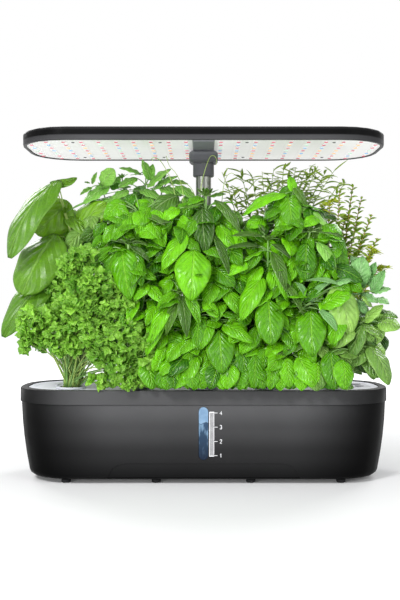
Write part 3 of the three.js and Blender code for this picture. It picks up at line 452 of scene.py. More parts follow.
SEAM = 90
FRONT = -78
STEP_IN = 1.5
LEAN_IN = 0.03
CURVE_IN = 0.0011
BAR_PROUD = 0.14
PEN_PROUD = 0.16
GAP_PROUD = 0.2
STRIP = (6.3, 11.9)
STRIP_ENDS = (31.6, 82.4)
STRIP_STEPS = 14
MARKS = {4: 81.0, 3: 65.1, 2: 48.9, 1: 32.8}
MARK_END = 15.6
MARK_HALF = 0.35
DIGIT_X = 18.0
DIGIT_SIZE = 4.2
DIGIT_WIDE = 0.62
PEN = 0.75
GAPS = 39
LONG_GAP = 13
GAP_START = 7.1
GAP_END = 11.2
GAP_HALF = 0.36


def arc(cx, cz, rx, rz, first, last):
    """Places on an ellipse, from one angle to another."""
    steps = 9
    turns = (first + (last - first) * i / steps for i in range(steps + 1))
    return [(cx + rx * math.cos(math.radians(t)), cz + rz * math.sin(math.radians(t))) for t in turns]


DIGITS = {
    1: [[(0.2, 0.78), (0.55, 1.0), (0.55, 0.0)]],
    2: [arc(0.5, 0.72, 0.4, 0.28, 165, -35) + [(0.1, 0.0), (0.92, 0.0)]],
    3: [arc(0.45, 0.75, 0.38, 0.25, 150, -90), arc(0.45, 0.26, 0.43, 0.26, 90, -150)],
    4: [[(0.72, 0.0), (0.72, 1.0), (0.05, 0.3), (0.98, 0.3)]],
}


def wall(x, z, proud):
    """A place a little proud of the tank's front face, which leans and curves in below its seam."""
    drop = SEAM - z
    return Vector((x, FRONT + STEP_IN + LEAN_IN * drop + CURVE_IN * drop * drop - proud, z)) * MM


class Print:
    """Thin ink on the tank's front, built from bars and strokes."""

    def __init__(self):
        self.points, self.faces = [], []

    def bar(self, x0, x1, z0, z1, steps=1, proud=BAR_PROUD):
        """An upright strip, in steps that follow the wall."""
        for i in range(steps):
            a = z0 + (z1 - z0) * i / steps
            b = z0 + (z1 - z0) * (i + 1) / steps
            start = len(self.points)
            self.points += [wall(x0, a, proud), wall(x1, a, proud), wall(x1, b, proud), wall(x0, b, proud)]
            self.faces.append((start, start + 1, start + 2, start + 3))

    def stroke(self, line, x, z):
        """A pen stroke through places on a unit square, as a ribbon of even width."""
        line = [Vector((x + px * DIGIT_SIZE * DIGIT_WIDE, z + pz * DIGIT_SIZE)) for px, pz in line]
        start = len(self.points)
        for i, place in enumerate(line):
            way = (line[min(i + 1, len(line) - 1)] - line[max(i - 1, 0)]).normalized() * (PEN / 2)
            self.points.append(wall(place.x - way.y, place.y + way.x, PEN_PROUD))
            self.points.append(wall(place.x + way.y, place.y - way.x, PEN_PROUD))
        for i in range(len(line) - 1):
            a = start + 2 * i
            self.faces.append((a + 1, a, a + 2, a + 3))

    def build(self, name, material):
        mesh_object(name, self.points, self.faces, material, "base", False)


def level_scale():
    """The white strip with its marks and numbers, and the dark gaps on it."""
    white = Print()
    white.bar(*STRIP, *STRIP_ENDS, STRIP_STEPS)
    for litres, height in MARKS.items():
        white.bar(STRIP[1], MARK_END, height - MARK_HALF, height + MARK_HALF)
        for stroke in DIGITS[litres]:
            white.stroke(stroke, DIGIT_X, height - DIGIT_SIZE / 2)
    white.build("scale_print", moulded("scale_ink", (0.80, 0.80, 0.82), 0.45, 0.00001, 0.03))
    dark = Print()
    for i in range(GAPS):
        height = MARKS[1] + (MARKS[4] - MARKS[1]) * (i + 0.5) / GAPS
        end = GAP_END if i % LONG_GAP else STRIP[1]
        dark.bar(GAP_START, end, height - GAP_HALF, height + GAP_HALF, proud=GAP_PROUD)
    dark.build("scale_ticks", moulded("scale_gap", (0.030, 0.030, 0.033), 0.45, 0.00001, 0.05))


level_scale()

# The cups' growing sponges: crumbly plugs with a torn top, one for each cup

SPONGE_FOOT = 0.0087
SPONGE_SIDES = 26
SPONGE_STEPS = 9
SPONGE_TOP = (0.9, 0.75, 0.6, 0.45, 0.3, 0.15)
DENT = 0.0006
TORN = (-0.0007, 0.0002)


def sponge(points, faces, name, chance):
    """A plug in the place of one growing sponge."""
    low, high = (Vector(c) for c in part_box(name))
    centre = (low + high) / 2
    wide = (high.x - low.x) / 2

    def place(level, turn):
        reach, share = level
        dent = chance.uniform(0, DENT) if reach else 0
        lift = chance.uniform(*TORN) if share == 1 and reach < wide * 0.95 else 0
        reach -= dent
        z = low.z + (high.z - low.z) * share + lift
        return centre.x + reach * math.cos(turn), centre.y + reach * math.sin(turn), z

    levels = [(0.0, 0), (SPONGE_FOOT, 0)]
    for k in range(1, SPONGE_STEPS + 1):
        levels.append((SPONGE_FOOT + (wide - SPONGE_FOOT) * k / SPONGE_STEPS, k / SPONGE_STEPS))
    levels += [(wide * share, 1) for share in SPONGE_TOP]
    rings(points, faces, SPONGE_SIDES, levels, place)


def sponges():
    """All plugs as one mesh, which replaces the plain ones."""
    points, faces = [], []
    chance = random.Random(5)
    names = [name for name in nodes if name.startswith("grow_sponge")]
    for name in names:
        sponge(points, faces, name, chance)
    made = mesh_object("sponge_plugs", points, faces, PAINT["sponge"])
    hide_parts(*names)


sponges()

# The eye of the picture. A place read from it is two numbers, across and down, and a depth in millimetres

PICTURE = (400, 600)
EYE_BACK = 1099
EYE_HEIGHT = 205.5
EYE_FOCAL = 920
MIDDLE = (203.5, 301)


def at(across, down, depth):
    """The place in the scene, in millimetres, that the eye sees there at that depth."""
    reach = (EYE_BACK + depth) / EYE_FOCAL
    return Vector(((across - MIDDLE[0]) * reach, depth, EYE_HEIGHT + (MIDDLE[1] - down) * reach))


# The herbs' materials


def leaf_paint(name, dark, light, vein, gloss, pucker, veins=7.0, slope=0.42, through=0.24):
    """A leaf blade: midrib, side veins that lean to the tip, a puckered field between them, a paler edge."""
    paint = Paint(name, roughness=gloss, specular=0.34)
    blade_place = paint.node("ShaderNodeUVMap", uv_map="blade").outputs[0]
    along_blade = paint.axis("X", blade_place)
    across = paint.math("ABSOLUTE", paint.minus(paint.times(paint.axis("Y", blade_place), 2), 1))
    tint = paint.node("ShaderNodeAttribute", attribute_name="tint").outputs["Fac"]
    started = paint.minus(along_blade, paint.times(paint.math("POWER", across, 0.85), slope))
    beat = paint.math("PINGPONG", paint.times(started, veins), 0.5)
    side = paint.times(paint.span(beat, 0.075, 0.0, smooth=True), paint.span(across, 1.0, 0.55))
    rib = paint.span(across, 0.085, 0.015, smooth=True)
    mask = paint.math("MAXIMUM", paint.times(side, 0.62), rib)
    clouds = paint.noise(120, 4, 0.6)
    mottle = paint.noise(700, 3, 0.6)
    base = paint.mix(tint, dark, light)
    base = paint.mix(paint.times(paint.span(clouds, 0.35, 0.7), 0.45), base, toned(dark, 0.62))
    base = paint.mix(paint.times(paint.span(mottle, 0.4, 0.75), 0.25), base, toned(light, 1.35))
    base = paint.mix(paint.times(paint.span(across, 0.88, 1.0), 0.4), base, vein)
    paint.set("Base Color", paint.mix(paint.times(mask, 0.55), base, vein))
    paint.set("Roughness", paint.span(clouds, 0.3, 0.7, gloss - 0.06, gloss + 0.08))
    swell = paint.times(paint.span(beat, 0.0, 0.5), paint.span(across, 1.05, 0.4))
    relief = paint.plus(paint.minus(swell, paint.times(rib, 0.9)), paint.times(mottle, 0.18))
    shining = {"Color": paint.mix(0.5, base, light), "Normal": paint.bump(relief, pucker)}
    lit_through = paint.node("ShaderNodeBsdfTranslucent", shining).outputs[0]
    both = {0: through, 1: paint.shader.outputs[0], 2: lit_through}
    paint.feed(paint.output, paint.node("ShaderNodeMixShader", both).outputs[0])
    return paint.material


def stem_paint(name, low, high, rough=0.5):
    """A stalk: lengthwise lines over patches of two tones."""
    paint = Paint(name, roughness=rough, specular=0.4)
    lines = paint.noise(1, 3, 0.6, paint.stretched((2600, 2600, 90)))
    mixed = paint.mix(paint.span(paint.noise(60, 3), 0.35, 0.65), low, high)
    paint.set("Base Color", paint.mix(paint.times(lines, 0.4), mixed, toned(low, 0.6)))
    paint.bump(lines, 0.0003)
    return paint.material


# Each green is a darker and a lighter tone, that of the veins, and then gloss and pucker
GREEN = {
    "basil": leaf_paint("basil_blade", (0.008, 0.100, 0.001), (0.250, 0.780, 0.008), (0.34, 0.76, 0.06),
                        0.24, 0.0007),
    "large": leaf_paint("large_basil_blade", (0.024, 0.130, 0.006), (0.245, 0.510, 0.024), (0.30, 0.56, 0.10),
                        0.28, 0.0010, veins=4.5, slope=0.5),
    "end": leaf_paint("end_basil_blade", (0.026, 0.135, 0.008), (0.420, 0.740, 0.140), (0.46, 0.72, 0.20),
                      0.27, 0.0009, veins=5.5),
    "grey": leaf_paint("dark_basil_blade", (0.018, 0.085, 0.005), (0.190, 0.450, 0.030), (0.50, 0.72, 0.30),
                       0.28, 0.0009),
    "mint": leaf_paint("mint_blade", (0.125, 0.420, 0.034), (0.440, 0.880, 0.150), (0.60, 0.88, 0.38),
                       0.40, 0.0008, veins=6.0, through=0.25),
    "sage": leaf_paint("blue_green_blade", (0.120, 0.370, 0.090), (0.400, 0.770, 0.270), (0.58, 0.86, 0.44),
                       0.40, 0.0008, veins=6.0, through=0.25),
    "parsley": leaf_paint("parsley_blade", (0.042, 0.222, 0.006), (0.400, 0.800, 0.075), (0.48, 0.78, 0.16),
                          0.36, 0.0006, veins=2.5, through=0.30),
    "tarragon": leaf_paint("tarragon_blade", (0.130, 0.260, 0.006), (0.460, 0.660, 0.045), (0.60, 0.78, 0.30),
                           0.40, 0.0002, veins=2.0, through=0.25),
    "thyme": leaf_paint("thyme_blade", (0.300, 0.460, 0.010), (0.680, 0.780, 0.030), (0.70, 0.78, 0.16),
                        0.40, 0.0002, veins=2.0, through=0.25),
}
STALK = {
    "green": stem_paint("green_stalk", (0.13, 0.33, 0.05), (0.36, 0.56, 0.20)),
    "pale": stem_paint("pale_stalk", (0.26, 0.42, 0.07), (0.54, 0.68, 0.22)),
    "brown": stem_paint("woody_stalk", (0.30, 0.13, 0.035), (0.52, 0.30, 0.10), 0.65),
}

# Blades and stems, in millimetres


class Greens:
    """Collects the blades or the stems of one herb as one mesh."""

    def __init__(self):
        self.points, self.faces, self.uvs, self.tints = [], [], [], []

    def sheet(self, grid, uv, tint):
        """A blade, as a net of places."""
        rows, columns = grid.shape[:2]
        start = len(self.points)
        self.points.extend(grid.reshape(-1, 3))
        self.uvs.extend(uv.reshape(-1, 2))
        self.tints.extend([tint] * (rows * columns))
        for i in range(rows - 1):
            for j in range(columns - 1):
                a = start + i * columns + j
                self.faces.append((a, a + 1, a + columns + 1, a + columns))

    def tube(self, line, thick, thin, sides):
        """A stem along a line, tapered from thick to thin."""
        line = [Vector(p) for p in line]
        last = len(line) - 1
        side = Vector((1, 0, 0))
        levels = []
        for i, point in enumerate(line):
            way = (line[min(i + 1, last)] - line[max(i - 1, 0)]).normalized()
            side = side - way * side.dot(way)
            side = side.normalized() if side.length > 1e-6 else way.orthogonal().normalized()
            levels.append((point, side, way.cross(side), thick + (thin - thick) * i / last))
            self.uvs.extend((i / last, k / sides) for k in range(sides))
            self.tints.extend([0.5] * sides)

        def place(level, turn):
            point, side, other, radius = level
            return point + side * (radius * math.cos(turn)) + other * (radius * math.sin(turn))

        rings(self.points, self.faces, sides, levels, place, foot=True)

    def build(self, name, material):
        """The mesh, with its places on the blade for the veins and a tint for each blade."""
        made = mesh_object(name, [Vector(p) * MM for p in self.points], self.faces, material)
        mesh = made.data
        corner = np.empty(len(mesh.loops), np.int32)
        mesh.loops.foreach_get("vertex_index", corner)
        layer = mesh.uv_layers.new(name="blade")
        layer.data.foreach_set("uv", np.asarray(self.uvs, np.float32)[corner].ravel())
        tint = mesh.attributes.new("tint", "FLOAT", "POINT")
        tint.data.foreach_set("value", np.asarray(self.tints, np.float32))
        return made


# How a blade is cut: rise and fall set where it is widest and how blunt its tip is, teeth and their count
# notch its edge, cup folds it, wave and waves ripple it, rows and columns say how finely it is built
Cut = namedtuple("Cut", "rise fall teeth count cup wave waves rows columns")
CUTS = {
    "basil": Cut(0.50, 0.58, 0.0, 0, -0.20, 0.03, 2.5, 21, 11),
    "broad": Cut(0.50, 0.52, 0.0, 0, -0.26, 0.035, 2.0, 25, 13),
    "veined": Cut(0.54, 0.74, 0.015, 7, -0.20, 0.04, 2.5, 21, 11),
    "slim": Cut(0.75, 1.00, 0.0, 0, 0.22, 0.03, 2.0, 13, 7),
    "mint": Cut(0.58, 0.80, 0.07, 8, -0.10, 0.05, 3.0, 17, 9),
    "round": Cut(0.48, 0.55, 0.03, 8, -0.12, 0.05, 3.0, 17, 9),
    "needle": Cut(0.50, 0.80, 0.0, 0, 0.30, 0.0, 1.0, 8, 3),
    "tiny": Cut(0.50, 0.55, 0.0, 0, 0.22, 0.0, 1.0, 6, 5),
}
FOLDS = 4.5
FOLD_LEAN = 0.42
FOLD_DEPTH = 0.030
ANY_TURN = 6.28
GOLDEN = 2.4
BELOW = 4.0


def clamp(value):
    return min(1, max(0, value))


def net(u, v):
    """The two coordinates of a net of rows u and columns v, as a texture reads them."""
    return np.stack(np.broadcast_arrays(u[:, None], v[None, :]), axis=-1)


def unit(rows):
    """Rows of vectors, each made one long."""
    return rows / (np.linalg.norm(rows, axis=1)[:, None] + 1e-9)


def blade(greens, base, tip, width, kind, tone, chance, bend=0.16, facing=(0, -0.55, 0.84)):
    """One leaf from its base to its tip, arched towards facing, cupped, waved and toothed as its kind is."""
    cut = CUTS[kind]
    base, tip, face = Vector(base), Vector(tip), Vector(facing)
    run = tip - base
    way = run.normalized()
    face = face - way * face.dot(way)
    if face.length < 1e-3:
        face = way.orthogonal()
    face.normalize()
    control = base + run * 0.45 + face * (bend * run.length)

    # The midrib's line, and at each of its places the way across the blade and up from it
    u = np.linspace(0, 1, cut.rows)
    b, c, t, f = (np.array(p) for p in (base, control, tip, face))
    line = np.outer((1 - u) ** 2, b) + np.outer(2 * u * (1 - u), c) + np.outer(u ** 2, t)
    slope = unit(np.outer(2 * (1 - u), c - b) + np.outer(2 * u, t - c))
    up = unit(f[None, :] - slope * (slope @ f)[:, None])
    side = np.cross(slope, up)

    # Half the width along the midrib
    peak = cut.rise / (cut.rise + cut.fall)
    most = peak ** cut.rise * (1 - peak) ** cut.fall
    inner = np.clip(u, 0.012, 0.992)
    half = width / 2 * inner ** cut.rise * (1 - inner) ** cut.fall / most
    if cut.teeth:
        half = half * (1 + cut.teeth * np.abs(np.sin(np.pi * cut.count * u)) - cut.teeth / 2)

    # The net of the blade: cupped, waved towards its edge and swollen between its side veins
    v = np.linspace(-1, 1, cut.columns)
    half, u2, v2 = half[:, None], u[:, None], v[None, :]
    off = np.abs(v2)
    phase = chance.random() * ANY_TURN
    lift = cut.cup * off ** 1.7 * half
    ripple = cut.wave * width * (v2 ** 2) * np.sin(2 * np.pi * cut.waves * u2 + phase + 1.9 * np.sign(v2))
    ripple = ripple * np.clip(half / (width / 2), 0, 1)
    swell = 0.5 - 0.5 * np.cos(2 * np.pi * FOLDS * (u2 - FOLD_LEAN * off))
    ripple = ripple + FOLD_DEPTH * width * swell * (1 - off) * np.clip(off * 4, 0, 1)
    reach = half * v2 * (1 - 0.12 * cut.cup * off)
    height = lift + ripple
    grid = line[:, None, :] + side[:, None, :] * reach[:, :, None] + up[:, None, :] * height[:, :, None]
    greens.sheet(grid, net(u, (v + 1) / 2), tone)


def fan(greens, base, tip, tone, facing, chance):
    """A parsley leaflet: a fan of three lobes with notched ends, frilled towards its rim."""
    half_turn = 1.25
    base, tip, face = Vector(base), Vector(tip), Vector(facing)
    run = tip - base
    way = run.normalized()
    face = (face - way * face.dot(way)).normalized()
    side = way.cross(face)
    turns = np.linspace(-half_turn, half_turn, 15)
    lobes = 0.56 + 0.30 * np.abs(np.cos(1.26 * turns * 1.5)) + 0.14 * np.abs(np.cos(6.2 * turns + 0.4))
    out = np.linspace(0.03, 1, 4)
    reach = run.length * np.outer(out, lobes)
    phase = chance.random() * ANY_TURN
    frill = 0.20 * run.length * np.outer(out ** 2, np.sin(5.0 * turns + phase))
    droop = -0.28 * run.length * (out ** 2)[:, None]
    b, w, s, f = (np.array(p) for p in (base, way, side, face))
    grid = (b + (reach * np.cos(turns))[:, :, None] * w + (reach * np.sin(turns))[:, :, None] * s
            + (frill + droop)[:, :, None] * f)
    greens.sheet(grid, net(out, (turns / half_turn + 1) / 2), tone)


def curve(start, control, end, shares):
    """Places on a curve that leaves start towards control and comes from there to end."""
    return [start * (1 - t) ** 2 + control * (2 * t * (1 - t)) + end * t ** 2 for t in shares]


def bow(start, end, rise, steps, sway=(0, 0, 0)):
    """A stem's line: it leaves start upwards and bends over to end."""
    start, end = Vector(start), Vector(end)
    control = start + (end - start) * 0.35 + UP * ((end - start).length * rise) + Vector(sway)
    return curve(start, control, end, (i / (steps - 1) for i in range(steps)))


def along(line, share):
    """The place at a share of a line's steps."""
    steps = len(line) - 1
    i = min(int(share * steps), steps - 1)
    return line[i].lerp(line[i + 1], share * steps % 1.0)


def nearest(lines, point):
    """The place on the stems nearest to a leaf's base, taken from a little below it."""
    best = None
    for line in lines:
        for place in line[1:]:
            if place.z > point.z + BELOW:
                continue
            far = (place - point).length + max(0, place.z - point.z) * 2
            if best is None or far < best[0]:
                best = (far, place)
    return best[1] if best else lines[0][0]


def inside(outline, x, y):
    """Whether a place of the picture is inside an outline."""
    within = False
    for (xa, ya), (xb, yb) in zip(outline, outline[1:] + outline[:1]):
        if (ya > y) != (yb > y) and x < (xb - xa) * (y - ya) / (yb - ya) + xa:
            within = not within
    return within


# A plant. Its leaves keep to the herbs' room, off the mast, over the rim and under the lamp

CROWN_Z = 107.2
LOWEST_LEAF = 109.0
ROOM = (Vector((-222, -99, LOWEST_LEAF)), Vector((214, 98, 378)))
MAST = 15
CROWN_REACH = 2.4
RIM_DOWN = 389
SKIRT_DEPTH = -84
HANG_Z = 108.2
DROOP = 0.35
SHRINKS = (1.0, 0.75, 0.55)
JITTER = 3
DEPTH_JITTER = 9
THICKNESS = 0.00028
SLOTS = {
    "parsley": "leaf_parsley", "mint": "leaf_mint", "lemon_balm": "leaf_mint", "tarragon": "leaf_tarragon",
    "thyme": "leaf_thyme",
}


def clear_of_parts(point):
    """Whether a leaf's tip is inside the herbs' room and off the mast."""
    within = all(ROOM[0][i] <= point[i] <= ROOM[1][i] for i in range(3))
    return within and math.hypot(point.x, point.y) > MAST


class Herb:
    """One plant: its blades by kind of green, its stalks, and the lines of its stems."""

    def __init__(self, name, x, y, seed):
        self.name = name
        self.crown = Vector((x, y, CROWN_Z))
        self.chance = random.Random(seed)
        self.blades = {}
        self.stalks = {}
        self.lines = []

    def green(self, kind):
        return self.blades.setdefault(kind, Greens())

    def stalk(self, kind):
        return self.stalks.setdefault(kind, Greens())

    def stem(self, top, kind, thick, thin, rise, sway=(0, 0, 0), steps=12):
        """A stem from the crown that leaves can grow on."""
        angle = self.chance.random() * ANY_TURN
        start = self.crown + heading(angle, -1.0, CROWN_REACH)
        line = bow(start, top, rise, steps, sway)
        self.lines.append(line)
        self.stalk(kind).tube(line, thick, thin, 8)
        return line

    def sprig(self, top, kind, thick, thin, rise, sway, steps):
        """A thin stem that starts anywhere on the crown."""
        chance = self.chance
        foot = self.crown + Vector((chance.uniform(-4, 4), chance.uniform(-4, 4), -0.5))
        line = bow(foot, top, rise, steps, (chance.uniform(-8, 8), chance.uniform(-sway, sway), 0))
        self.stalk(kind).tube(line, thick, thin, 6)
        return line

    def leaf(self, base, tip, width, cut, green, tone, stalk="green", petiole=True, thick=0.75, **shape):
        """A blade and the stalk that joins it to the nearest stem."""
        base, tip = Vector(base), Vector(tip)
        blade(self.green(green), base, tip, width, cut, tone, self.chance, **shape)
        if petiole:
            foot = nearest(self.lines, base)
            into = base + (tip - base) * 0.04
            control = foot * 0.45 + into * 0.55 + UP * ((into - foot).length * 0.22)
            line = curve(foot, control, into, (i / 7 for i in range(8)))
            self.stalk(stalk).tube(line, thick, thick * 0.7, 6)

    def seen(self, rows, green, cut, stalk="green"):
        """Leaves placed by the picture: across and down of base and of tip, width, the depths of base and of
        tip, tone, and what else differs from the plant's own kind."""
        for x0, y0, x1, y1, width, near, far, tone, *more in rows:
            shape = {"cut": cut, "green": green, **dict(*more)}
            scale = (EYE_BACK + (near + far) / 2) / EYE_FOCAL
            self.leaf(at(x0, y0, near), at(x1, y1, far), width * scale, tone=tone, stalk=stalk, **shape)

    def tuft(self, centre, size, count, green, cut, tone, spread=0.9):
        """A growing tip: small leaves in a tight whorl, the inner ones upright."""
        for i in range(count):
            ring = i / count
            turn = i * GOLDEN
            lean = spread * (0.35 + 0.75 * (1 - ring))
            way = Vector((math.sin(lean) * math.cos(turn), math.sin(lean) * math.sin(turn), math.cos(lean)))
            length = size * (1.0 - 0.55 * ring) * (0.85 + 0.3 * self.chance.random())
            shade = clamp(tone + 0.3 * (self.chance.random() - 0.5))
            blade(self.green(green), centre - UP * 0.6, centre + way * length, length * 0.42, cut, shade,
                  self.chance, 0.18, (-way.x * 0.4, -way.y * 0.4, 1))

    def fill(self, line, green, cut, length, every, tone, start, share):
        """Opposite pairs up a stem, each turned a quarter from the last, for the sides, back and depth. One
        that would leave the herbs' room is made smaller, or left out."""
        chance = self.chance
        total = sum((b - a).length for a, b in zip(line, line[1:]))
        count = max(1, int(total * (1 - start) / every))
        base_turn = chance.random() * 3.14
        for k in range(count):
            t = start + (1 - start) * (k + 0.5) / count
            point = along(line, t)
            for half in (0, math.pi):
                turn = base_turn + k * math.pi / 2 + half + 0.5 * (chance.random() - 0.5)
                way = heading(turn, 0.25 - DROOP * chance.random() * 2).normalized()
                size = length * (0.75 + 0.5 * chance.random()) * (1.1 - 0.35 * t)
                for shrink in SHRINKS:
                    base = point + way * (size * 0.22 * shrink) + UP * 2
                    tip = base + way * size * shrink + UP * (-DROOP * size * 0.3)
                    if clear_of_parts(tip) and clear_of_parts(base):
                        shade = clamp(tone + 0.5 * (chance.random() - 0.5))
                        self.leaf(base, tip, size * shrink * share, cut, green, shade, thick=0.55, bend=0.14,
                                  facing=(way.x * 0.2, way.y * 0.2 - 0.1, 1))
                        break

    def crowd(self, outline, green, cut, step, size, deep, tone):
        """Leaves on a jittered net inside an outline of the picture, deeper high up and nearer low down."""
        chance = self.chance
        left, top = (min(values) for values in zip(*outline))
        right, foot = (max(values) for values in zip(*outline))
        y = top
        while y < foot:
            x = left + chance.uniform(0, step)
            while x < right:
                px, py = (value + chance.uniform(-JITTER, JITTER) for value in (x, y))
                x += step
                if not inside(outline, px, py):
                    continue
                down = (py - top) / (foot - top)
                depth = deep[0] + (deep[1] - deep[0]) * down + chance.uniform(-DEPTH_JITTER, DEPTH_JITTER)
                base = at(px, py, depth)
                turn = chance.uniform(-2.5, -0.6)
                out = chance.uniform(-0.7, 0.1)
                way = Vector((math.cos(turn), out, math.sin(turn) * chance.uniform(0.5, 1.0)))
                length = chance.uniform(*size)
                tip = base + way.normalized() * length
                if not (clear_of_parts(base) and clear_of_parts(tip)):
                    continue
                shade = clamp(tone + chance.uniform(-0.55, 0.5))
                bend = chance.uniform(0.12, 0.34)
                facing = (chance.uniform(-0.6, 0.6), -0.75, 0.6)
                self.leaf(base, tip, length * 0.6, cut, green, shade, thick=0.6, bend=bend, facing=facing)
            y += step

    def skirt(self, first, last, green, cut, step=5.5, size=(17, 28)):
        """A hanging row along the rim, from one place across the picture to another."""
        chance = self.chance
        x = first
        while x < last:
            high = RIM_DOWN - chance.uniform(*size)
            near = SKIRT_DEPTH + chance.uniform(-3, 8)
            base = at(x + chance.uniform(-6, 6), high, near)
            tip = at(x + chance.uniform(-5, 5), RIM_DOWN + 0.5 + chance.uniform(-1.5, 1), near - 9)
            tip.z = max(tip.z, HANG_Z)
            width = (tip - base).length * 0.78
            tone = chance.uniform(0.05, 0.85)
            facing = (chance.uniform(-0.5, 0.5), -0.9, 0.4)
            self.leaf(base, tip, width, cut, green, tone, thick=0.6, bend=0.14, facing=facing)
            x += step

    def finish(self):
        """Builds the meshes and hides the plain solid. Leaves get their thickness."""
        made = []
        for kind, greens in self.blades.items():
            leaves = greens.build(f"{self.name}_leaves_{kind}", GREEN[kind])
            thick = leaves.modifiers.new("thickness", "SOLIDIFY")
            thick.thickness = THICKNESS
            thick.offset = -1
            made.append(leaves)
        for kind, greens in self.stalks.items():
            made.append(greens.build(f"{self.name}_stems_{kind}", STALK[kind]))
        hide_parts(self.name)
        for mesh in made:
            SLOTS.get(self.name, "leaf_basil")
            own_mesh(mesh)


# Where each plant's foliage fills the picture
FIELDS = {
    "left": [(100, 236), (108, 204), (136, 192), (170, 196), (178, 214), (168, 250), (166, 330), (150, 344),
             (138, 326), (120, 286), (104, 262)],
    "middle": [(168, 250), (170, 212), (188, 196), (222, 196), (238, 228), (242, 280), (250, 330), (250, 384),
               (176, 384), (154, 350), (152, 328), (166, 300)],
    "right": [(238, 230), (252, 214), (272, 204), (292, 184), (306, 190), (324, 222), (342, 240), (348, 290),
              (342, 320), (320, 345), (318, 384), (250, 384), (246, 330)],
    "end": [(320, 340), (342, 318), (352, 300), (374, 302), (392, 312), (394, 328), (378, 346), (384, 374),
            (352, 362), (342, 382), (322, 384)],
    "behind": [(78, 206), (100, 196), (150, 190), (190, 200), (196, 226), (170, 240), (110, 240), (84, 262),
               (74, 240)],
}

# What a row of leaves can add to its numbers: another green, another cut, no stalk, a bend or a facing
GREY, SAGE, MINT, PALE = ({"green": kind} for kind in ("grey", "sage", "mint", "end"))
PLAIN, BROAD, VEINED, ROUND, SLIM = (
    {"cut": kind} for kind in ("basil", "broad", "veined", "round", "slim"))
LOOSE = {"petiole": False}


def bent(share):
    return {"bend": share}


def faced(x, y, z):
    return {"facing": (x, y, z)}


LEFT_END_LEAVES = [
    (59, 180, 9, 258, 38, -20, -56, 0.35, BROAD | faced(-0.5, -0.8, 0.35) | bent(0.24)),
    (50, 183, 77, 178, 10, -22, -24, 0.55, faced(0.1, -0.9, 0.4) | bent(-0.3)),
    (69, 202, 36, 234, 38, 2, -6, 1.0, BROAD | faced(0.1, -0.95, 0.3) | bent(0.1)),
    (56, 234, 22, 295, 50, -16, -52, 0.45, BROAD | faced(-0.3, -0.92, 0.2) | bent(0.16)),
    (60, 268, 3, 337, 36, -6, -64, 0.35, faced(-0.35, -0.9, 0.3) | bent(0.18)),
    (72, 232, 107, 203, 30, 4, -10, 0.9, faced(0, -0.92, 0.4) | bent(0.12)),
    (66, 216, 92, 236, 20, 0, -10, 0.6, bent(0.2)), (58, 240, 92, 262, 22, 6, -8, 0.35, bent(0.25)),
    (64, 206, 60, 240, 24, 10, 20, 0.5, faced(0.2, -0.9, 0.3)),
]
# Base, tip, width and tone of the leaves at its back, in millimetres
LEFT_BACK_LEAVES = [
    ((-160, 66, 250), (-206, 92, 214), 40, 0.4), ((-156, 70, 256), (-118, 97, 236), 38, 0.7),
    ((-160, 70, 262), (-150, 60, 300), 30, 0.8), ((-164, 60, 226), (-214, 48, 190), 42, 0.3),
    ((-156, 62, 206), (-120, 92, 178), 40, 0.5), ((-158, 56, 178), (-206, 82, 148), 38, 0.25),
    ((-154, 50, 160), (-110, 84, 132), 34, 0.4), ((-158, 50, 150), (-178, 88, 126), 32, 0.35),
    ((-168, 10, 270), (-160, 34, 318), 34, 0.75),
]


def left_end_basil():
    """Few, big leaves at the left-hand end."""
    herb = Herb("basil_left_end", -152, 40, 11)
    main = herb.stem(at(65, 213, -6), "pale", 2.4, 1.7, 0.1, (26, -8, 14))
    side = herb.stem(at(60, 262, -4), "pale", 2.0, 1.3, 0.35, (4, 0, 0))
    back = herb.stem((-158, 72, 262), "pale", 2.2, 1.3, 0.3, (-8, 6, 0))
    herb.seen(LEFT_END_LEAVES, "large", "basil", "pale")
    for base, tip, width, tone in LEFT_BACK_LEAVES:
        herb.leaf(base, tip, width, "basil", "large", tone, "pale", bend=0.2, facing=(0, 0.2, 1))
    for line in (main, back):
        herb.tuft(line[-1], 12, 7, "large", "basil", 0.8)
    herb.fill(side, "large", "basil", 34, 30, 0.4, 0.3, 0.66)
    herb.crowd(FIELDS["behind"], "end", "basil", 12, (26, 38), (12, -10), 0.35)
    return herb


def mint_plant(name, x, seed, tops, fills, tone):
    """A plant of many upright stems, each with pairs of leaves up to a tuft."""
    herb = Herb(name, x, 40, seed)
    for top in tops:
        line = herb.stem(top, "green", 1.5, 0.7, 0.25, (0, 4, 0), 14)
        herb.tuft(line[-1], 9, 7, "mint", "mint", tone + 0.2)
        herb.fill(line, "mint", "mint", fills, 13, tone, 0.12, 0.66)
    return herb


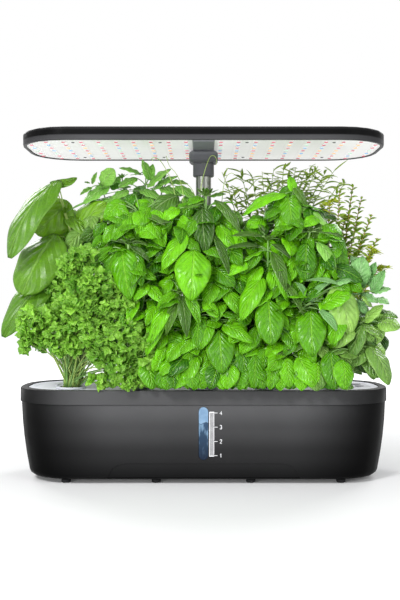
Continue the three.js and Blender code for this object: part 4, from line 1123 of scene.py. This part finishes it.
MINT_LEAVES = [
    (92, 184, 97, 172, 6, 12, 10, 0.5, LOOSE), (90, 183, 84, 182, 4, 12, 10, 0.5, LOOSE),
    (102, 185, 114, 169, 18, 10, 4, 0.85, ROUND | faced(0, -0.9, 0.4)), (141, 174, 119, 168, 11, 14, 6, 0.4),
    (137, 178, 118, 188, 14, 14, 4, 0.55), (92, 187, 80, 195, 7, 8, 0, 0.4),
    (109, 186, 83, 204, 19, 8, -4, 0.35), (150, 180, 142, 160, 12, 10, 4, 0.5),
    (149, 180, 153, 164, 10, 12, 14, 0.3), (147, 187, 171, 169, 17, 10, 2, 0.75),
    (152, 190, 178, 176, 15, 16, 8, 0.6), (160, 188, 182, 196, 16, 8, 0, 0.6),
    (168, 182, 188, 184, 11, 22, 16, 0.5), (140, 190, 162, 200, 14, 6, -4, 0.45),
    (128, 190, 110, 204, 15, 6, -4, 0.5), (118, 198, 98, 215, 18, 2, -10, 0.45, faced(-0.2, -0.8, 0.5)),
    (132, 196, 103, 222, 17, -6, -26, 0.1, GREY | VEINED), (128, 204, 118, 226, 14, -4, -14, 0.3),
    (186, 196, 190, 214, 13, -4, -14, 0.4), (176, 186, 196, 200, 14, 0, -10, 0.5),
    (112, 190, 120, 176, 12, 30, 34, 0.6), (134, 200, 146, 222, 16, -2, -16, 0.5),
    (150, 196, 142, 216, 15, 0, -14, 0.5),
]


def mint():
    """Back left: upright stems whose tops stand over the basil."""
    tops = [at(101, 186, 14), at(122, 178, 26), at(146, 172, 20), at(164, 178, 30)]
    tops += [(-100, 72, 300), (-60, 74, 318)]
    herb = mint_plant("mint", -76, 21, tops, 26, 0.5)
    herb.seen(MINT_LEAVES, "mint", "mint")
    return herb


# The curled tendrils that stand out of the lemon balm
TENDRILS = [
    [(176, 206), (174, 186), (163, 163), (156, 157), (151, 158), (153, 161)],
    [(182, 210), (184, 190), (176, 172), (168, 166), (166, 150)],
    [(200, 196), (202, 180), (208, 160), (212, 154), (217, 158), (216, 165)],
    [(196, 200), (192, 188), (184, 182), (180, 184)],
    [(222, 200), (224, 180), (230, 172), (236, 175)],
]
TENDRIL_TOP = 376
LEMON_BALM_LEAVES = [
    (188, 214, 196, 232, 14, 10, -6, 0.6), (182, 206, 174, 226, 14, 4, -14, 0.5),
    (178, 220, 162, 236, 15, 0, -18, 0.6), (230, 210, 242, 226, 14, 10, 0, 0.7),
    (222, 206, 232, 222, 12, 12, 2, 0.6),
]


def lemon_balm():
    """Back middle: a mint-like plant, from which tendrils curl past the mast."""
    tops = [(-26, 46, 300), (24, 50, 318), (-34, 30, 330), (34, 34, 296), (0, 70, 330), (-12, 22, 252)]
    herb = mint_plant("lemon_balm", 0, 31, tops, 27, 0.4)
    herb.seen(LEMON_BALM_LEAVES, "mint", "mint")
    for places in TENDRILS:
        corners = [at(x, y, -20) for x, y in places]
        line = [corners[0]]
        for before, corner, after in zip(corners, corners[1:], corners[2:]):
            line += curve((before + corner) / 2, corner, (corner + after) / 2, (0.1, 0.4, 0.7, 0.95))
        line.append(corners[-1])
        line = bow(herb.crown, line[0], 0.2, 8)[:-1] + line
        for place in line:
            place.z = min(place.z, TENDRIL_TOP)
        herb.stalk("pale").tube(line, 0.6, 0.32, 5)
    return herb


FRONT_LEFT_LEAVES = [
    (122, 248, 130, 300, 27, -60, -80, 0.45, faced(-0.15, -0.92, 0.35) | bent(0.2)),
    (116, 254, 104, 278, 16, -58, -70, 0.4), (133, 250, 142, 287, 16, -60, -80, 0.2),
    (140, 262, 130, 287, 14, -70, -82, 0.35), (113, 247, 95, 260, 10, -52, -60, 0.5, SLIM),
    (130, 246, 150, 262, 9, -54, -66, 0.2, GREY | SLIM), (128, 244, 110, 240, 8, -50, -54, 0.4, GREY | SLIM),
    (130, 242, 148, 245, 7, -50, -56, 0.4, GREY | SLIM), (148, 283, 134, 301, 14, -68, -80, 0.7),
    (138, 300, 127, 325, 12, -66, -84, 0.75, SLIM),
    (135, 212, 113, 241, 19, -38, -54, 0.5, faced(-0.2, -0.8, 0.5) | bent(0.22)),
    (142, 214, 138, 240, 15, -38, -50, 0.3),
    (178, 196, 150, 214, 21, -20, -36, 0.3, GREY | faced(0, -0.8, 0.6) | bent(0.25)),
    (146, 216, 166, 226, 10, -40, -50, 0.5, GREY | SLIM), (148, 218, 160, 240, 14, -40, -56, 0.6, VEINED),
    (150, 226, 172, 222, 9, -42, -48, 0.3, GREY | SLIM), (146, 284, 164, 304, 15, -66, -80, 0.8),
    (140, 286, 120, 296, 14, -60, -70, 0.3), (158, 300, 146, 326, 15, -60, -78, 0.7, VEINED),
    (134, 268, 156, 280, 16, -58, -70, 0.5), (118, 222, 104, 244, 16, -34, -50, 0.55),
    (126, 296, 112, 314, 14, -56, -66, 0.35),
]


def front_left_basil():
    """A veined basil with dark, slim leaves at its tips."""
    herb = Herb("basil_front_left", -76, -40, 41)
    main = herb.stem(at(128, 244, -56), "green", 1.9, 1.2, 0.3)
    left = herb.stem(at(140, 214, -38), "green", 1.7, 1.0, 0.2, (-10, 6, 0))
    low = herb.stem(at(146, 284, -64), "green", 1.6, 1.0, 0.4)
    herb.tuft(main[-1], 15, 11, "grey", "slim", 0.4, 1.3)
    herb.tuft(left[-1], 10, 8, "basil", "veined", 0.6, 1.0)
    herb.seen(FRONT_LEFT_LEAVES, "basil", "veined")
    for line in (main, left, low):
        herb.fill(line, "basil", "veined", 34, 24, 0.35, 0.25, 0.62)
    herb.crowd(FIELDS["left"], "basil", "veined", 10.5, (24, 36), (-24, -60), 0.45)
    # A deeper crowd in the dark green at a low tone: painted shade in the gaps between the nearer leaves
    herb.crowd(FIELDS["left"], "grey", "veined", 12, (30, 42), (6, -28), 0.1)
    return herb


FRONT_MIDDLE_LEAVES = [
    (202, 208, 206, 253, 22, -42, -58, 0.1, GREY | faced(-0.2, -0.9, 0.3) | bent(0.16)),
    (215, 200, 241, 233, 13, -38, -50, 0.35, GREY | bent(0.24)),
    (214, 234, 230, 277, 9, -52, -66, 0.2, GREY | SLIM | bent(0.12)),
    (204, 200, 184, 208, 11, -36, -44, 0.5, GREY), (210, 196, 226, 194, 9, -36, -42, 0.4, GREY),
    (200, 214, 186, 238, 14, -40, -54, 0.4), (218, 224, 233, 250, 16, -44, -58, 0.8),
    (186, 234, 162, 270, 20, -56, -76, 0.8, faced(-0.3, -0.8, 0.5)),
    (194, 250, 191, 301, 36, -68, -90, 0.75, faced(0.05, -0.95, 0.3) | bent(0.24)),
    (186, 238, 200, 254, 14, -58, -66, 0.4), (178, 242, 168, 256, 12, -54, -62, 0.9),
    (252, 258, 224, 276, 17, -50, -66, 1.0, faced(-0.1, -0.8, 0.6)), (240, 244, 228, 262, 15, -40, -52, 1.0),
    (216, 274, 232, 292, 17, -54, -66, 0.2), (214, 282, 206, 306, 18, -60, -74, 0.7),
    (226, 286, 238, 314, 17, -58, -74, 0.6), (180, 296, 166, 336, 12, -76, -88, 0.5, GREY | SLIM),
    (182, 296, 187, 338, 13, -78, -92, 0.2, GREY | SLIM), (176, 292, 156, 312, 12, -74, -84, 0.6, SLIM),
    (186, 292, 200, 326, 12, -76, -88, 0.5, SLIM), (172, 300, 150, 344, 16, -72, -88, 0.8, bent(0.24)),
    (166, 312, 146, 356, 15, -66, -86, 0.85), (200, 314, 196, 350, 16, -74, -88, 0.3),
    (222, 325, 253, 343, 18, -74, -90, 0.6, faced(0.1, -0.7, 0.7) | bent(0.22)),
    (219, 330, 222, 374, 28, -76, -94, 0.3, faced(0, -0.9, 0.4) | bent(0.2)),
    (210, 320, 200, 350, 17, -76, -88, 0.5), (222, 312, 236, 318, 11, -68, -78, 0.2),
    (196, 336, 180, 354, 17, -78, -90, 0.6), (182, 340, 168, 362, 18, -76, -92, 0.7),
    (176, 356, 160, 376, 17, -78, -92, 0.75), (196, 356, 184, 386, 17, -80, -94, 0.6),
    (210, 360, 204, 389, 16, -82, -94, 0.5), (226, 356, 236, 386, 17, -80, -94, 0.2),
    (240, 344, 246, 378, 16, -74, -90, 0.15), (190, 372, 174, 389, 14, -84, -94, 0.6),
    (218, 372, 224, 390, 13, -84, -94, 0.7), (204, 300, 218, 318, 15, -70, -80, 0.8),
    (168, 330, 158, 350, 14, -62, -80, 0.7), (244, 300, 250, 322, 15, -56, -70, 0.5),
]


def front_middle_basil():
    """The tallest basil, with one large leaf in its middle and a skirt over the rim."""
    herb = Herb("basil_front_middle", 0, -40, 51)
    top = herb.stem(at(206, 196, -34), "green", 2.0, 1.2, 0.15, (0, -6, 0))
    left = herb.stem(at(190, 248, -60), "green", 1.8, 1.1, 0.3)
    low = herb.stem(at(180, 294, -74), "green", 1.7, 1.0, 0.4)
    right = herb.stem(at(216, 318, -72), "green", 1.7, 1.0, 0.4)
    middle = herb.stem(at(226, 262, -48), "green", 1.7, 1.0, 0.3)
    herb.tuft(top[-1], 16, 13, "grey", "veined", 0.5, 1.0)
    herb.tuft(low[-1], 13, 10, "grey", "slim", 0.6, 1.4)
    herb.tuft(right[-1], 12, 9, "basil", "veined", 0.3, 1.2)
    herb.seen(FRONT_MIDDLE_LEAVES, "basil", "veined")
    for line in (top, left, middle):
        herb.fill(line, "basil", "veined", 36, 24, 0.4, 0.2, 0.64)
    for line in (low, right):
        herb.fill(line, "basil", "veined", 30, 22, 0.3, 0.15, 0.64)
    herb.crowd(FIELDS["middle"], "basil", "veined", 10.5, (24, 38), (-26, -76), 0.5)
    # A deeper crowd in the dark green at a low tone: painted shade in the gaps between the nearer leaves
    herb.crowd(FIELDS["middle"], "grey", "veined", 12, (30, 42), (4, -40), 0.1)
    herb.skirt(152, 250, "basil", "veined")
    return herb


FRONT_RIGHT_LEAVES = [
    (286, 194, 243, 216, 17, -30, -46, 0.95, faced(-0.2, -0.6, 0.75) | bent(0.28)),
    (288, 197, 292, 226, 23, -34, -48, 0.45, ROUND | faced(0, -0.93, 0.35)),
    (294, 193, 290, 176, 10, -26, -24, 0.95, PLAIN),
    (297, 206, 328, 227, 15, -28, -40, 0.55, MINT | bent(0.2)),
    (294, 186, 306, 206, 10, -24, -34, 0.5, GREY), (284, 204, 268, 222, 12, -30, -40, 0.8),
    (286, 226, 270, 238, 12, -34, -44, 0.7),
    (262, 236, 231, 236, 11, -50, -62, 0.4, GREY | SLIM | bent(0.1)),
    (260, 246, 225, 249, 10, -52, -66, 0.2, GREY | SLIM | bent(0.12)),
    (258, 252, 248, 270, 13, -54, -62, 0.3), (272, 244, 291, 259, 9, -52, -60, 0.2, GREY | SLIM),
    (274, 236, 284, 226, 8, -44, -46, 0.5, SLIM), (264, 234, 258, 224, 9, -42, -44, 0.4, GREY | SLIM),
    (272, 252, 286, 292, 14, -56, -74, 0.3, GREY | SLIM | bent(0.14)),
    (285, 282, 304, 316, 8, -64, -78, 0.5, GREY | SLIM | bent(0.12)),
    (278, 262, 288, 302, 15, -54, -68, 0.6), (286, 246, 290, 262, 12, -42, -48, 0.7),
    (308, 232, 286, 234, 8, -46, -54, 0.3, GREY | SLIM),
    (315, 232, 344, 238, 10, -46, -56, 0.25, GREY | SLIM | bent(0.2)),
    (306, 243, 305, 281, 22, -50, -64, 0.15, PLAIN | faced(0, -0.95, 0.3)),
    (318, 242, 336, 270, 14, -50, -62, 0.5, MINT), (306, 238, 298, 226, 8, -42, -40, 0.5, SLIM),
    (314, 238, 322, 222, 9, -42, -40, 0.4, GREY | SLIM), (296, 256, 290, 282, 15, -50, -60, 0.8),
    (320, 256, 314, 284, 16, -46, -58, 0.6),
    (262, 277, 241, 321, 22, -60, -82, 0.75, faced(-0.3, -0.85, 0.4) | bent(0.2)),
    (268, 300, 271, 345, 28, -70, -90, 0.35, PLAIN | faced(0, -0.93, 0.35) | bent(0.2)),
    (310, 311, 312, 357, 30, -72, -92, 0.4, faced(0, -0.93, 0.35) | bent(0.18)),
    (321, 306, 351, 294, 22, -66, -76, 0.8, ROUND | faced(0, -0.7, 0.7)),
    (319, 309, 338, 333, 11, -70, -82, 0.45, SAGE | SLIM),
    (302, 302, 288, 296, 8, -66, -70, 0.4, SAGE | SLIM), (312, 296, 330, 282, 9, -64, -66, 0.5, SAGE | SLIM),
    (306, 296, 296, 282, 9, -64, -66, 0.4, SAGE | SLIM),
    (336, 286, 350, 334, 32, -56, -76, 0.95, PALE | PLAIN | faced(0.2, -0.9, 0.4) | bent(0.2)),
    (342, 286, 306, 280, 9, -58, -66, 0.8, SAGE | SLIM), (334, 282, 352, 280, 14, -54, -60, 0.7, SAGE),
    (326, 266, 320, 290, 15, -48, -58, 0.7), (258, 326, 250, 352, 15, -68, -82, 0.3),
    (284, 330, 296, 350, 16, -72, -84, 0.3), (286, 352, 268, 360, 12, -80, -90, 0.4, GREY),
    (292, 350, 306, 344, 11, -80, -86, 0.3, GREY), (286, 358, 290, 388, 18, -84, -95, 0.7),
    (298, 357, 315, 388, 22, -84, -96, 0.8, faced(0.1, -0.9, 0.4)), (274, 362, 270, 390, 16, -84, -95, 0.5),
    (256, 355, 254, 389, 17, -82, -95, 0.3, bent(0.12)), (264, 348, 262, 370, 13, -78, -88, 0.4),
    (300, 372, 302, 391, 16, -88, -97, 0.8), (282, 374, 280, 391, 13, -88, -97, 0.6),
    (246, 372, 240, 390, 13, -84, -94, 0.5), (318, 344, 330, 362, 14, -72, -82, 0.8, PALE),
    (296, 338, 284, 356, 14, -76, -86, 0.25), (300, 316, 292, 338, 16, -50, -62, 0.2),
    (322, 330, 336, 344, 14, -66, -74, 0.9, PALE),
]


def front_right_basil():
    """A pale top, two whorls of dark leaves, and large leaves that hang low."""
    herb = Herb("basil_front_right", 76, -40, 61)
    high = herb.stem(at(293, 192, -26), "green", 2.0, 1.1, 0.12, (6, 0, 0))
    left = herb.stem(at(268, 240, -48), "green", 1.8, 1.1, 0.25)
    right = herb.stem(at(310, 232, -44), "green", 1.8, 1.1, 0.2, (8, 0, 0))
    low = herb.stem(at(311, 302, -66), "green", 1.7, 1.1, 0.4)
    foot = herb.stem(at(288, 352, -80), "green", 1.5, 0.9, 0.5)
    herb.tuft(left[-1], 15, 13, "grey", "slim", 0.8, 1.4)
    herb.tuft(right[-1], 13, 10, "grey", "slim", 0.7, 1.2)
    herb.tuft(low[-1], 13, 12, "sage", "slim", 0.3, 1.4)
    herb.tuft(foot[-1], 11, 9, "grey", "slim", 0.3, 1.3)
    herb.seen(FRONT_RIGHT_LEAVES, "basil", "veined")
    for line in (high, left, right):
        herb.fill(line, "basil", "veined", 36, 24, 0.45, 0.2, 0.62)
    for line in (low, foot):
        herb.fill(line, "basil", "veined", 28, 22, 0.35, 0.15, 0.62)
    herb.crowd(FIELDS["right"], "basil", "veined", 10.5, (24, 38), (-22, -76), 0.5)
    # A deeper crowd in the dark green at a low tone: painted shade in the gaps between the nearer leaves
    herb.crowd(FIELDS["right"], "grey", "veined", 12, (30, 42), (6, -40), 0.1)
    herb.skirt(248, 318, "basil", "veined")
    return herb


RIGHT_END_LEAVES = [
    (364, 322, 383, 305, 16, -60, -68, 0.9),
    (378, 322, 400, 328, 23, -62, -74, 0.75, faced(0.1, -0.7, 0.7) | bent(0.24)),
    (380, 312, 398, 318, 10, -56, -64, 0.2, bent(0.3)), (368, 326, 383, 339, 11, -62, -72, 0.85),
    (370, 332, 376, 346, 13, -56, -62, 0.05),
    (362, 325, 352, 358, 17, -64, -78, 0.2, faced(-0.4, -0.8, 0.4)),
    (352, 328, 334, 348, 21, -66, -80, 0.7, faced(-0.2, -0.7, 0.7) | bent(0.3)),
    (346, 346, 334, 352, 12, -62, -70, 0.05),
    (368, 346, 389, 385, 23, -68, -86, 0.35, faced(0.4, -0.8, 0.45) | bent(0.26)),
    (366, 350, 352, 366, 16, -70, -82, 0.3), (362, 354, 378, 378, 17, -68, -80, 0.3),
    (342, 350, 350, 366, 15, -72, -82, 0.6),
    (330, 352, 334, 390, 22, -82, -96, 0.25, {"green": "basil"} | VEINED),
    (322, 360, 318, 390, 18, -80, -94, 0.2), (338, 362, 344, 384, 13, -74, -84, 0.05),
    (312, 376, 318, 391, 15, -88, -97, 0.3), (346, 366, 336, 386, 15, -78, -88, 0.05),
    (340, 330, 326, 344, 15, -66, -76, 0.85), (372, 306, 362, 296, 12, -50, -54, 0.8),
]
SPRIG_LEAVES = [
    (356, 286, 363, 256, 24, -34, -38, 0.6, faced(0, -0.93, 0.35)), (372, 293, 385, 270, 15, -38, -44, 0.4),
    (374, 292, 391, 289, 13, -40, -50, 0.6), (376, 298, 389, 304, 12, -42, -52, 0.7),
    (362, 294, 378, 303, 13, -44, -52, 0.5), (358, 290, 344, 274, 15, -34, -38, 0.35),
    (366, 284, 378, 276, 12, -30, -32, 0.5), (352, 296, 342, 304, 13, -44, -50, 0.6),
    (356, 300, 366, 314, 14, -46, -56, 0.5), (370, 276, 376, 262, 9, -30, -32, 0.3),
    (360, 268, 350, 256, 14, -26, -26, 0.5),
]


def right_end_basil():
    """The pale basil at the right-hand end, with a blue-green sprig over it."""
    herb = Herb("basil_right_end", 152, -40, 71)
    main = herb.stem(at(362, 322, -58), "green", 2.1, 1.3, 0.5)
    high = herb.stem(at(364, 288, -34), "pale", 1.8, 1.1, 0.3, (8, 0, 0))
    low = herb.stem(at(350, 350, -70), "green", 1.8, 1.1, 0.6)
    back = herb.stem((186, -10, 196), "green", 1.8, 1.1, 0.4)
    herb.seen(RIGHT_END_LEAVES, "end", "basil")
    herb.seen(SPRIG_LEAVES, "sage", "mint")
    for line in (main, back, low):
        herb.fill(line, "end", "basil", 32, 26, 0.4, 0.25, 0.66)
    herb.fill(high, "sage", "mint", 26, 22, 0.4, 0.3, 0.66)
    herb.crowd(FIELDS["end"], "end", "basil", 11, (22, 34), (-36, -76), 0.5)
    # A deeper crowd in the dark green at a low tone: painted shade in the gaps between the nearer leaves
    herb.crowd(FIELDS["end"], "grey", "veined", 12, (26, 38), (-10, -50), 0.1)
    herb.skirt(316, 344, "basil", "basil", 6, (20, 30))
    herb.tuft(main[-1], 11, 7, "end", "basil", 0.8)
    herb.tuft(back[-1], 12, 8, "end", "basil", 0.6)
    herb.tuft(high[-1], 10, 7, "sage", "mint", 0.5)
    return herb


# The parsley: heads on a net inside its outline and at its edge, and a mound of heads between them
PARSLEY_OUTLINE = [
    (24, 340), (34, 326), (52, 316), (67, 288), (80, 264), (98, 264), (112, 286), (132, 306),
    (144, 334), (154, 360), (158, 385), (112, 386), (106, 366), (92, 352), (60, 352), (36, 354),
]
PARSLEY_EDGE = [
    (26, 330), (28, 318), (41, 318), (30, 344), (52, 340), (60, 350), (74, 350), (96, 384),
    (70, 266), (76, 258), (84, 256), (66, 276),
]
NET_START = (14, 256)
NET_COLUMNS = 14
NET_ROWS = 13
NET_STEP = (11.2, 11)
NET_MIDDLE = 85
NET_HALF = 75
MOUND = 46
MOUND_CENTRE = (-150, -38)
MOUND_TOP = 238
PARSLEY_ROOM = (-230, -104)
PARSLEY_FRONT = -98
EDGE_DEPTH = -74
NET_DEPTH = -66


def parsley_heads(chance):
    """Where the heads stand: on the net they come nearer in the middle and low down."""
    heads = []
    for row in range(NET_ROWS):
        for column in range(NET_COLUMNS):
            x = NET_START[0] + column * NET_STEP[0] + (row % 2) * NET_STEP[0] / 2 + chance.uniform(-3, 3)
            y = NET_START[1] + row * NET_STEP[1] + chance.uniform(-3, 3)
            if inside(PARSLEY_OUTLINE, x, y):
                middle = 1 - min(1, abs(x - NET_MIDDLE) / NET_HALF)
                near = 22 * middle * (0.35 + 0.65 * (y - 250) / 140)
                heads.append(at(x, y, NET_DEPTH - near + chance.uniform(-6, 9)))
    heads += [at(x, y, EDGE_DEPTH) for x, y in PARSLEY_EDGE]
    for k in range(MOUND):
        turn = k * GOLDEN
        ring = (k % (MOUND // 2)) / (MOUND // 2)
        reach = 8 + 34 * math.sqrt(ring)
        deep = 26 if math.sin(turn) > 0 else 20
        x = MOUND_CENTRE[0] + reach * math.cos(turn)
        y = MOUND_CENTRE[1] + deep * math.sin(turn) * reach / 42
        heads.append(Vector((x, y, MOUND_TOP - 0.045 * reach * reach + chance.uniform(-16, 8))))
    return heads


def parsley():
    """Front left: many thin stems from a wide crown, each with a curled head."""
    herb = Herb("parsley", -152, -40, 81)
    chance = herb.chance
    for head in parsley_heads(chance):
        head.y = max(PARSLEY_FRONT, head.y)
        turn = chance.uniform(0, ANY_TURN)
        reach = 10 * math.sqrt(chance.random())
        start = herb.crown + heading(turn, -0.5, reach)
        line = bow(start, head, 0.30, 10, (chance.uniform(-9, 9), chance.uniform(-5, 5), 0))
        herb.stalk("pale" if chance.random() < 0.6 else "green").tube(line, 0.85, 0.45, 6)
        frond(herb, head, (line[-1] - line[-3]).normalized(), 12.0 + chance.uniform(-2, 2))
    return herb


def frond(herb, head, lean, size):
    """A parsley head: short branches, each ending in three curled, cut leaflets."""
    chance = herb.chance
    side = lean.orthogonal().normalized()
    other = lean.cross(side)
    shade = chance.random()
    for k in range(5):
        turn = TURN * k / 5 + chance.uniform(-0.4, 0.4)
        spread = 1.15 if k else 0.35
        out = lean * math.cos(spread) + (side * math.cos(turn) + other * math.sin(turn)) * math.sin(spread)
        out.z += 0.15
        out.normalize()
        node = head + out * size * 0.45
        herb.stalk("green").tube([head, head.lerp(node, 0.5) + UP * 0.3, node], 0.42, 0.3, 5)
        across = out.cross(Vector((0, -0.5, 0.85))).normalized()
        for turn_by in (-0.85, 0.0, 0.85):
            way = (out * math.cos(turn_by) + across * math.sin(turn_by)).normalized()
            length = size * (0.68 if turn_by else 0.85) * chance.uniform(0.85, 1.15)
            tip = node + way * length
            if tip.x < PARSLEY_ROOM[0] or tip.y < PARSLEY_ROOM[1] or tip.z < LOWEST_LEAF:
                continue
            tone = clamp(0.3 + 0.5 * shade + chance.uniform(-0.3, 0.3))
            facing = (chance.uniform(-0.7, 0.7), -0.8, chance.uniform(0.1, 0.9))
            fan(herb.green("parsley"), node - way * 0.4, tip, tone, facing, chance)


TARRAGON_TOPS = [
    (222, 172), (232, 186), (240, 164), (252, 176), (262, 160), (274, 164), (284, 158), (296, 160),
    (306, 164), (318, 162), (326, 170), (336, 166), (340, 182), (346, 182), (244, 196), (310, 186),
    (278, 176), (290, 162), (300, 172), (312, 160), (322, 178), (268, 184),
]
TARRAGON_DEPTHS = (-4, 18, 40, 8, 56, 28)
TARRAGON_TOP = 368
NEEDLES = 46
NEEDLE_TOP = 379
NEEDLE_WIDTH = 3.4


def tarragon():
    """Back right: thin stems with needles all round them."""
    herb = Herb("tarragon", 76, 40, 91)
    chance = herb.chance
    for i, (x, y) in enumerate(TARRAGON_TOPS):
        top = at(x, y, TARRAGON_DEPTHS[i % 6])
        top.z = min(top.z, TARRAGON_TOP)
        line = herb.sprig(top, "pale", 0.95, 0.35, 0.3, 6, 26)
        for k in range(NEEDLES):
            t = 0.22 + 0.78 * k / NEEDLES
            point = along(line, t)
            turn = k * GOLDEN + i
            way = heading(turn, chance.uniform(-0.25, 0.75)).normalized()
            tip = point + way * (chance.uniform(17, 32) * (1.05 - 0.4 * t))
            if tip.z > NEEDLE_TOP:
                tip.z = NEEDLE_TOP - chance.uniform(0, 4)
            if clear_of_parts(Vector((tip.x, tip.y, min(tip.z, NEEDLE_TOP - 2)))):
                width = NEEDLE_WIDTH + chance.uniform(-0.5, 0.8)
                tone = chance.random()
                bend = chance.uniform(-0.25, 0.35)
                blade(herb.green("tarragon"), point, tip, width, "needle", tone, chance, bend)
    return herb


THYME_TOPS = [
    (353, 184), (330, 200), (345, 214), (372, 214), (362, 196), (374, 248), (382, 264), (378, 238),
    (336, 226), (366, 230), (350, 240), (340, 190),
]
THYME_DEPTHS = (10, -8, 26, 0, 44, -14)
IN_FLOWER = (1, 2, 5, 6, 8)
PAIRS = 44


def thyme():
    """Woody stems with pairs of tiny leaves, some with yellow clusters at their tops."""
    herb = Herb("thyme", 152, 40, 101)
    chance = herb.chance
    for i, (x, y) in enumerate(THYME_TOPS):
        line = herb.sprig(at(x, y, THYME_DEPTHS[i % 6]), "brown", 1.05, 0.4, 0.22, 8, 22)
        for k in range(PAIRS):
            t = 0.16 + 0.84 * k / PAIRS
            point = along(line, t)
            green = "thyme" if t > 0.6 and i in IN_FLOWER else "tarragon"
            for half in (0, math.pi):
                turn = k * 1.57 + half + chance.uniform(-0.3, 0.3)
                way = heading(turn, chance.uniform(0.0, 0.8)).normalized()
                length = chance.uniform(8, 14) if t < 0.86 else chance.uniform(6, 9)
                tip = point + way * length
                if clear_of_parts(tip):
                    tone = chance.uniform(0.1, 0.9)
                    blade(herb.green(green), point, tip, length * 0.42, "tiny", tone, chance, 0.2)
        if i in IN_FLOWER:
            for k in range(4):
                off = Vector((chance.uniform(-6, 6), chance.uniform(-4, 4), chance.uniform(-9, 1)))
                herb.tuft(line[-1] + off, 8, 14, "thyme", "tiny", 0.75, 1.6)
    return herb


for grow in (left_end_basil, mint, lemon_balm, front_left_basil, front_middle_basil, front_right_basil,
             right_end_basil, parsley, tarragon, thyme):
    grow().finish()

# Camera

SENSOR = 36

camera_data = bpy.data.cameras.new("camera")
camera_data.lens = EYE_FOCAL / PICTURE[1] * SENSOR
camera_data.sensor_width = SENSOR
camera_data.shift_x = (PICTURE[0] / 2 - MIDDLE[0]) / PICTURE[1]
camera_data.shift_y = (MIDDLE[1] - PICTURE[1] / 2) / PICTURE[1]
camera = bpy.data.objects.new("camera", camera_data)
camera.location = (0, -EYE_BACK * MM, EYE_HEIGHT * MM)
camera.rotation_euler = (math.pi / 2, 0, 0)
scene.collection.objects.link(camera)
scene.camera = camera

# Light: name, place, what it is turned to, size and power

LAMPS = (
    ("key", (-0.75, -1.25, 1.25), (0, 0, 0.2), (0.40, 0.40), 19),
    ("fill", (1.1, -1.2, 0.75), (0, 0, 0.2), (0.7, 0.7), 6),
    ("front", (-0.75, -1.55, 0.30), (-0.05, 0, 0.22), (0.5, 0.25), 11.5),
    ("back_left", (-1.0, 1.35, 1.2), (0, 0, 0.15), (0.7, 0.7), 13),
    ("back_right", (1.0, 1.35, 1.2), (0, 0, 0.15), (0.7, 0.7), 13),
    ("left_strip", (-0.95, -0.25, 0.3), (0, 0, 0.15), (0.12, 0.9), 0.7),
    ("right_strip", (0.95, -0.25, 0.3), (0, 0, 0.15), (0.12, 0.9), 1.5),
)


def area_light(name, place, target, size, power):
    """A soft light that looks at its target."""
    lamp = bpy.data.lights.new(name, "AREA")
    lamp.shape = "RECTANGLE"
    lamp.size, lamp.size_y = size
    lamp.energy = power
    made = bpy.data.objects.new(name, lamp)
    made.location = place
    made.rotation_euler = (Vector(target) - Vector(place)).to_track_quat("-Z", "Y").to_euler()
    scene.collection.objects.link(made)


for lamp in LAMPS:
    area_light(*lamp)

# World and floor

WHITE = (1, 1, 1)
SOFT = (0.95, 0.97, 1.0)
SOFT_STRENGTH = 0.38
FLOOR_GREY = (0.86, 0.86, 0.86)
# Painted light on the floor: between these distances from the object, in metres, its glow grows from the
# first strength to the second, leaving a painted shadow near the object
LIFT_REACH = (0.22, 1.2)
LIFT_STRENGTH = (0.05, 0.75)
FLOOR_CORNERS = ((-6, -4), (6, -4), (6, 9), (-6, 9))
FLOOR_Z = -0.0005


def white_for_the_eye(tree, shown, lit):
    """Joins two shaders: shown for camera, mirror and see-through rays, lit for all light on the object."""
    rays = tree.node("ShaderNodeLightPath").outputs
    eye = tree.math("MAXIMUM", rays["Is Camera Ray"], rays["Is Glossy Ray"])
    eye = tree.math("MAXIMUM", eye, rays["Is Transmission Ray"])
    return tree.node("ShaderNodeMixShader", {0: eye, 1: lit, 2: shown}).outputs[0]


def studio():
    """A white world that lights the object softly."""
    world = bpy.data.worlds.new("studio")
    scene.world = world
    tree = Nodes(world)
    soft = tree.node("ShaderNodeBackground", {"Color": SOFT, "Strength": SOFT_STRENGTH}).outputs[0]
    white = tree.node("ShaderNodeBackground", {"Color": WHITE, "Strength": 1.0}).outputs[0]
    tree.node("ShaderNodeOutputWorld", {"Surface": white_for_the_eye(tree, white, soft)})


def floor_paint():
    """A matt floor with a painted glow that whitens it away from the object and fades near it, which leaves a
    painted shadow around the object.
    """
    material = bpy.data.materials.new("floor")
    tree = Nodes(material)
    matt = tree.node("ShaderNodeBsdfDiffuse", {"Color": FLOOR_GREY}).outputs[0]
    place = tree.node("ShaderNodeTexCoord").outputs["Object"]
    away = tree.node("ShaderNodeVectorMath", {0: place}, operation="LENGTH").outputs["Value"]
    # Painted light and shadow: the glow grows with distance from the object
    strength = tree.span(away, *LIFT_REACH, *LIFT_STRENGTH)
    lift = tree.node("ShaderNodeEmission", {"Color": WHITE, "Strength": strength}).outputs[0]
    both = tree.node("ShaderNodeAddShader", {0: matt, 1: lift}).outputs[0]
    tree.node("ShaderNodeOutputMaterial", {"Surface": white_for_the_eye(tree, both, matt)})
    return material


studio()
floor_mesh = bpy.data.meshes.new("floor")
floor_mesh.from_pydata([(x, y, FLOOR_Z) for x, y in FLOOR_CORNERS], [], [(0, 1, 2, 3)])
floor_mesh.materials.append(floor_paint())
floor = bpy.data.objects.new("floor", floor_mesh)
scene.collection.objects.link(floor)
scene.view_settings.view_transform = "Standard"
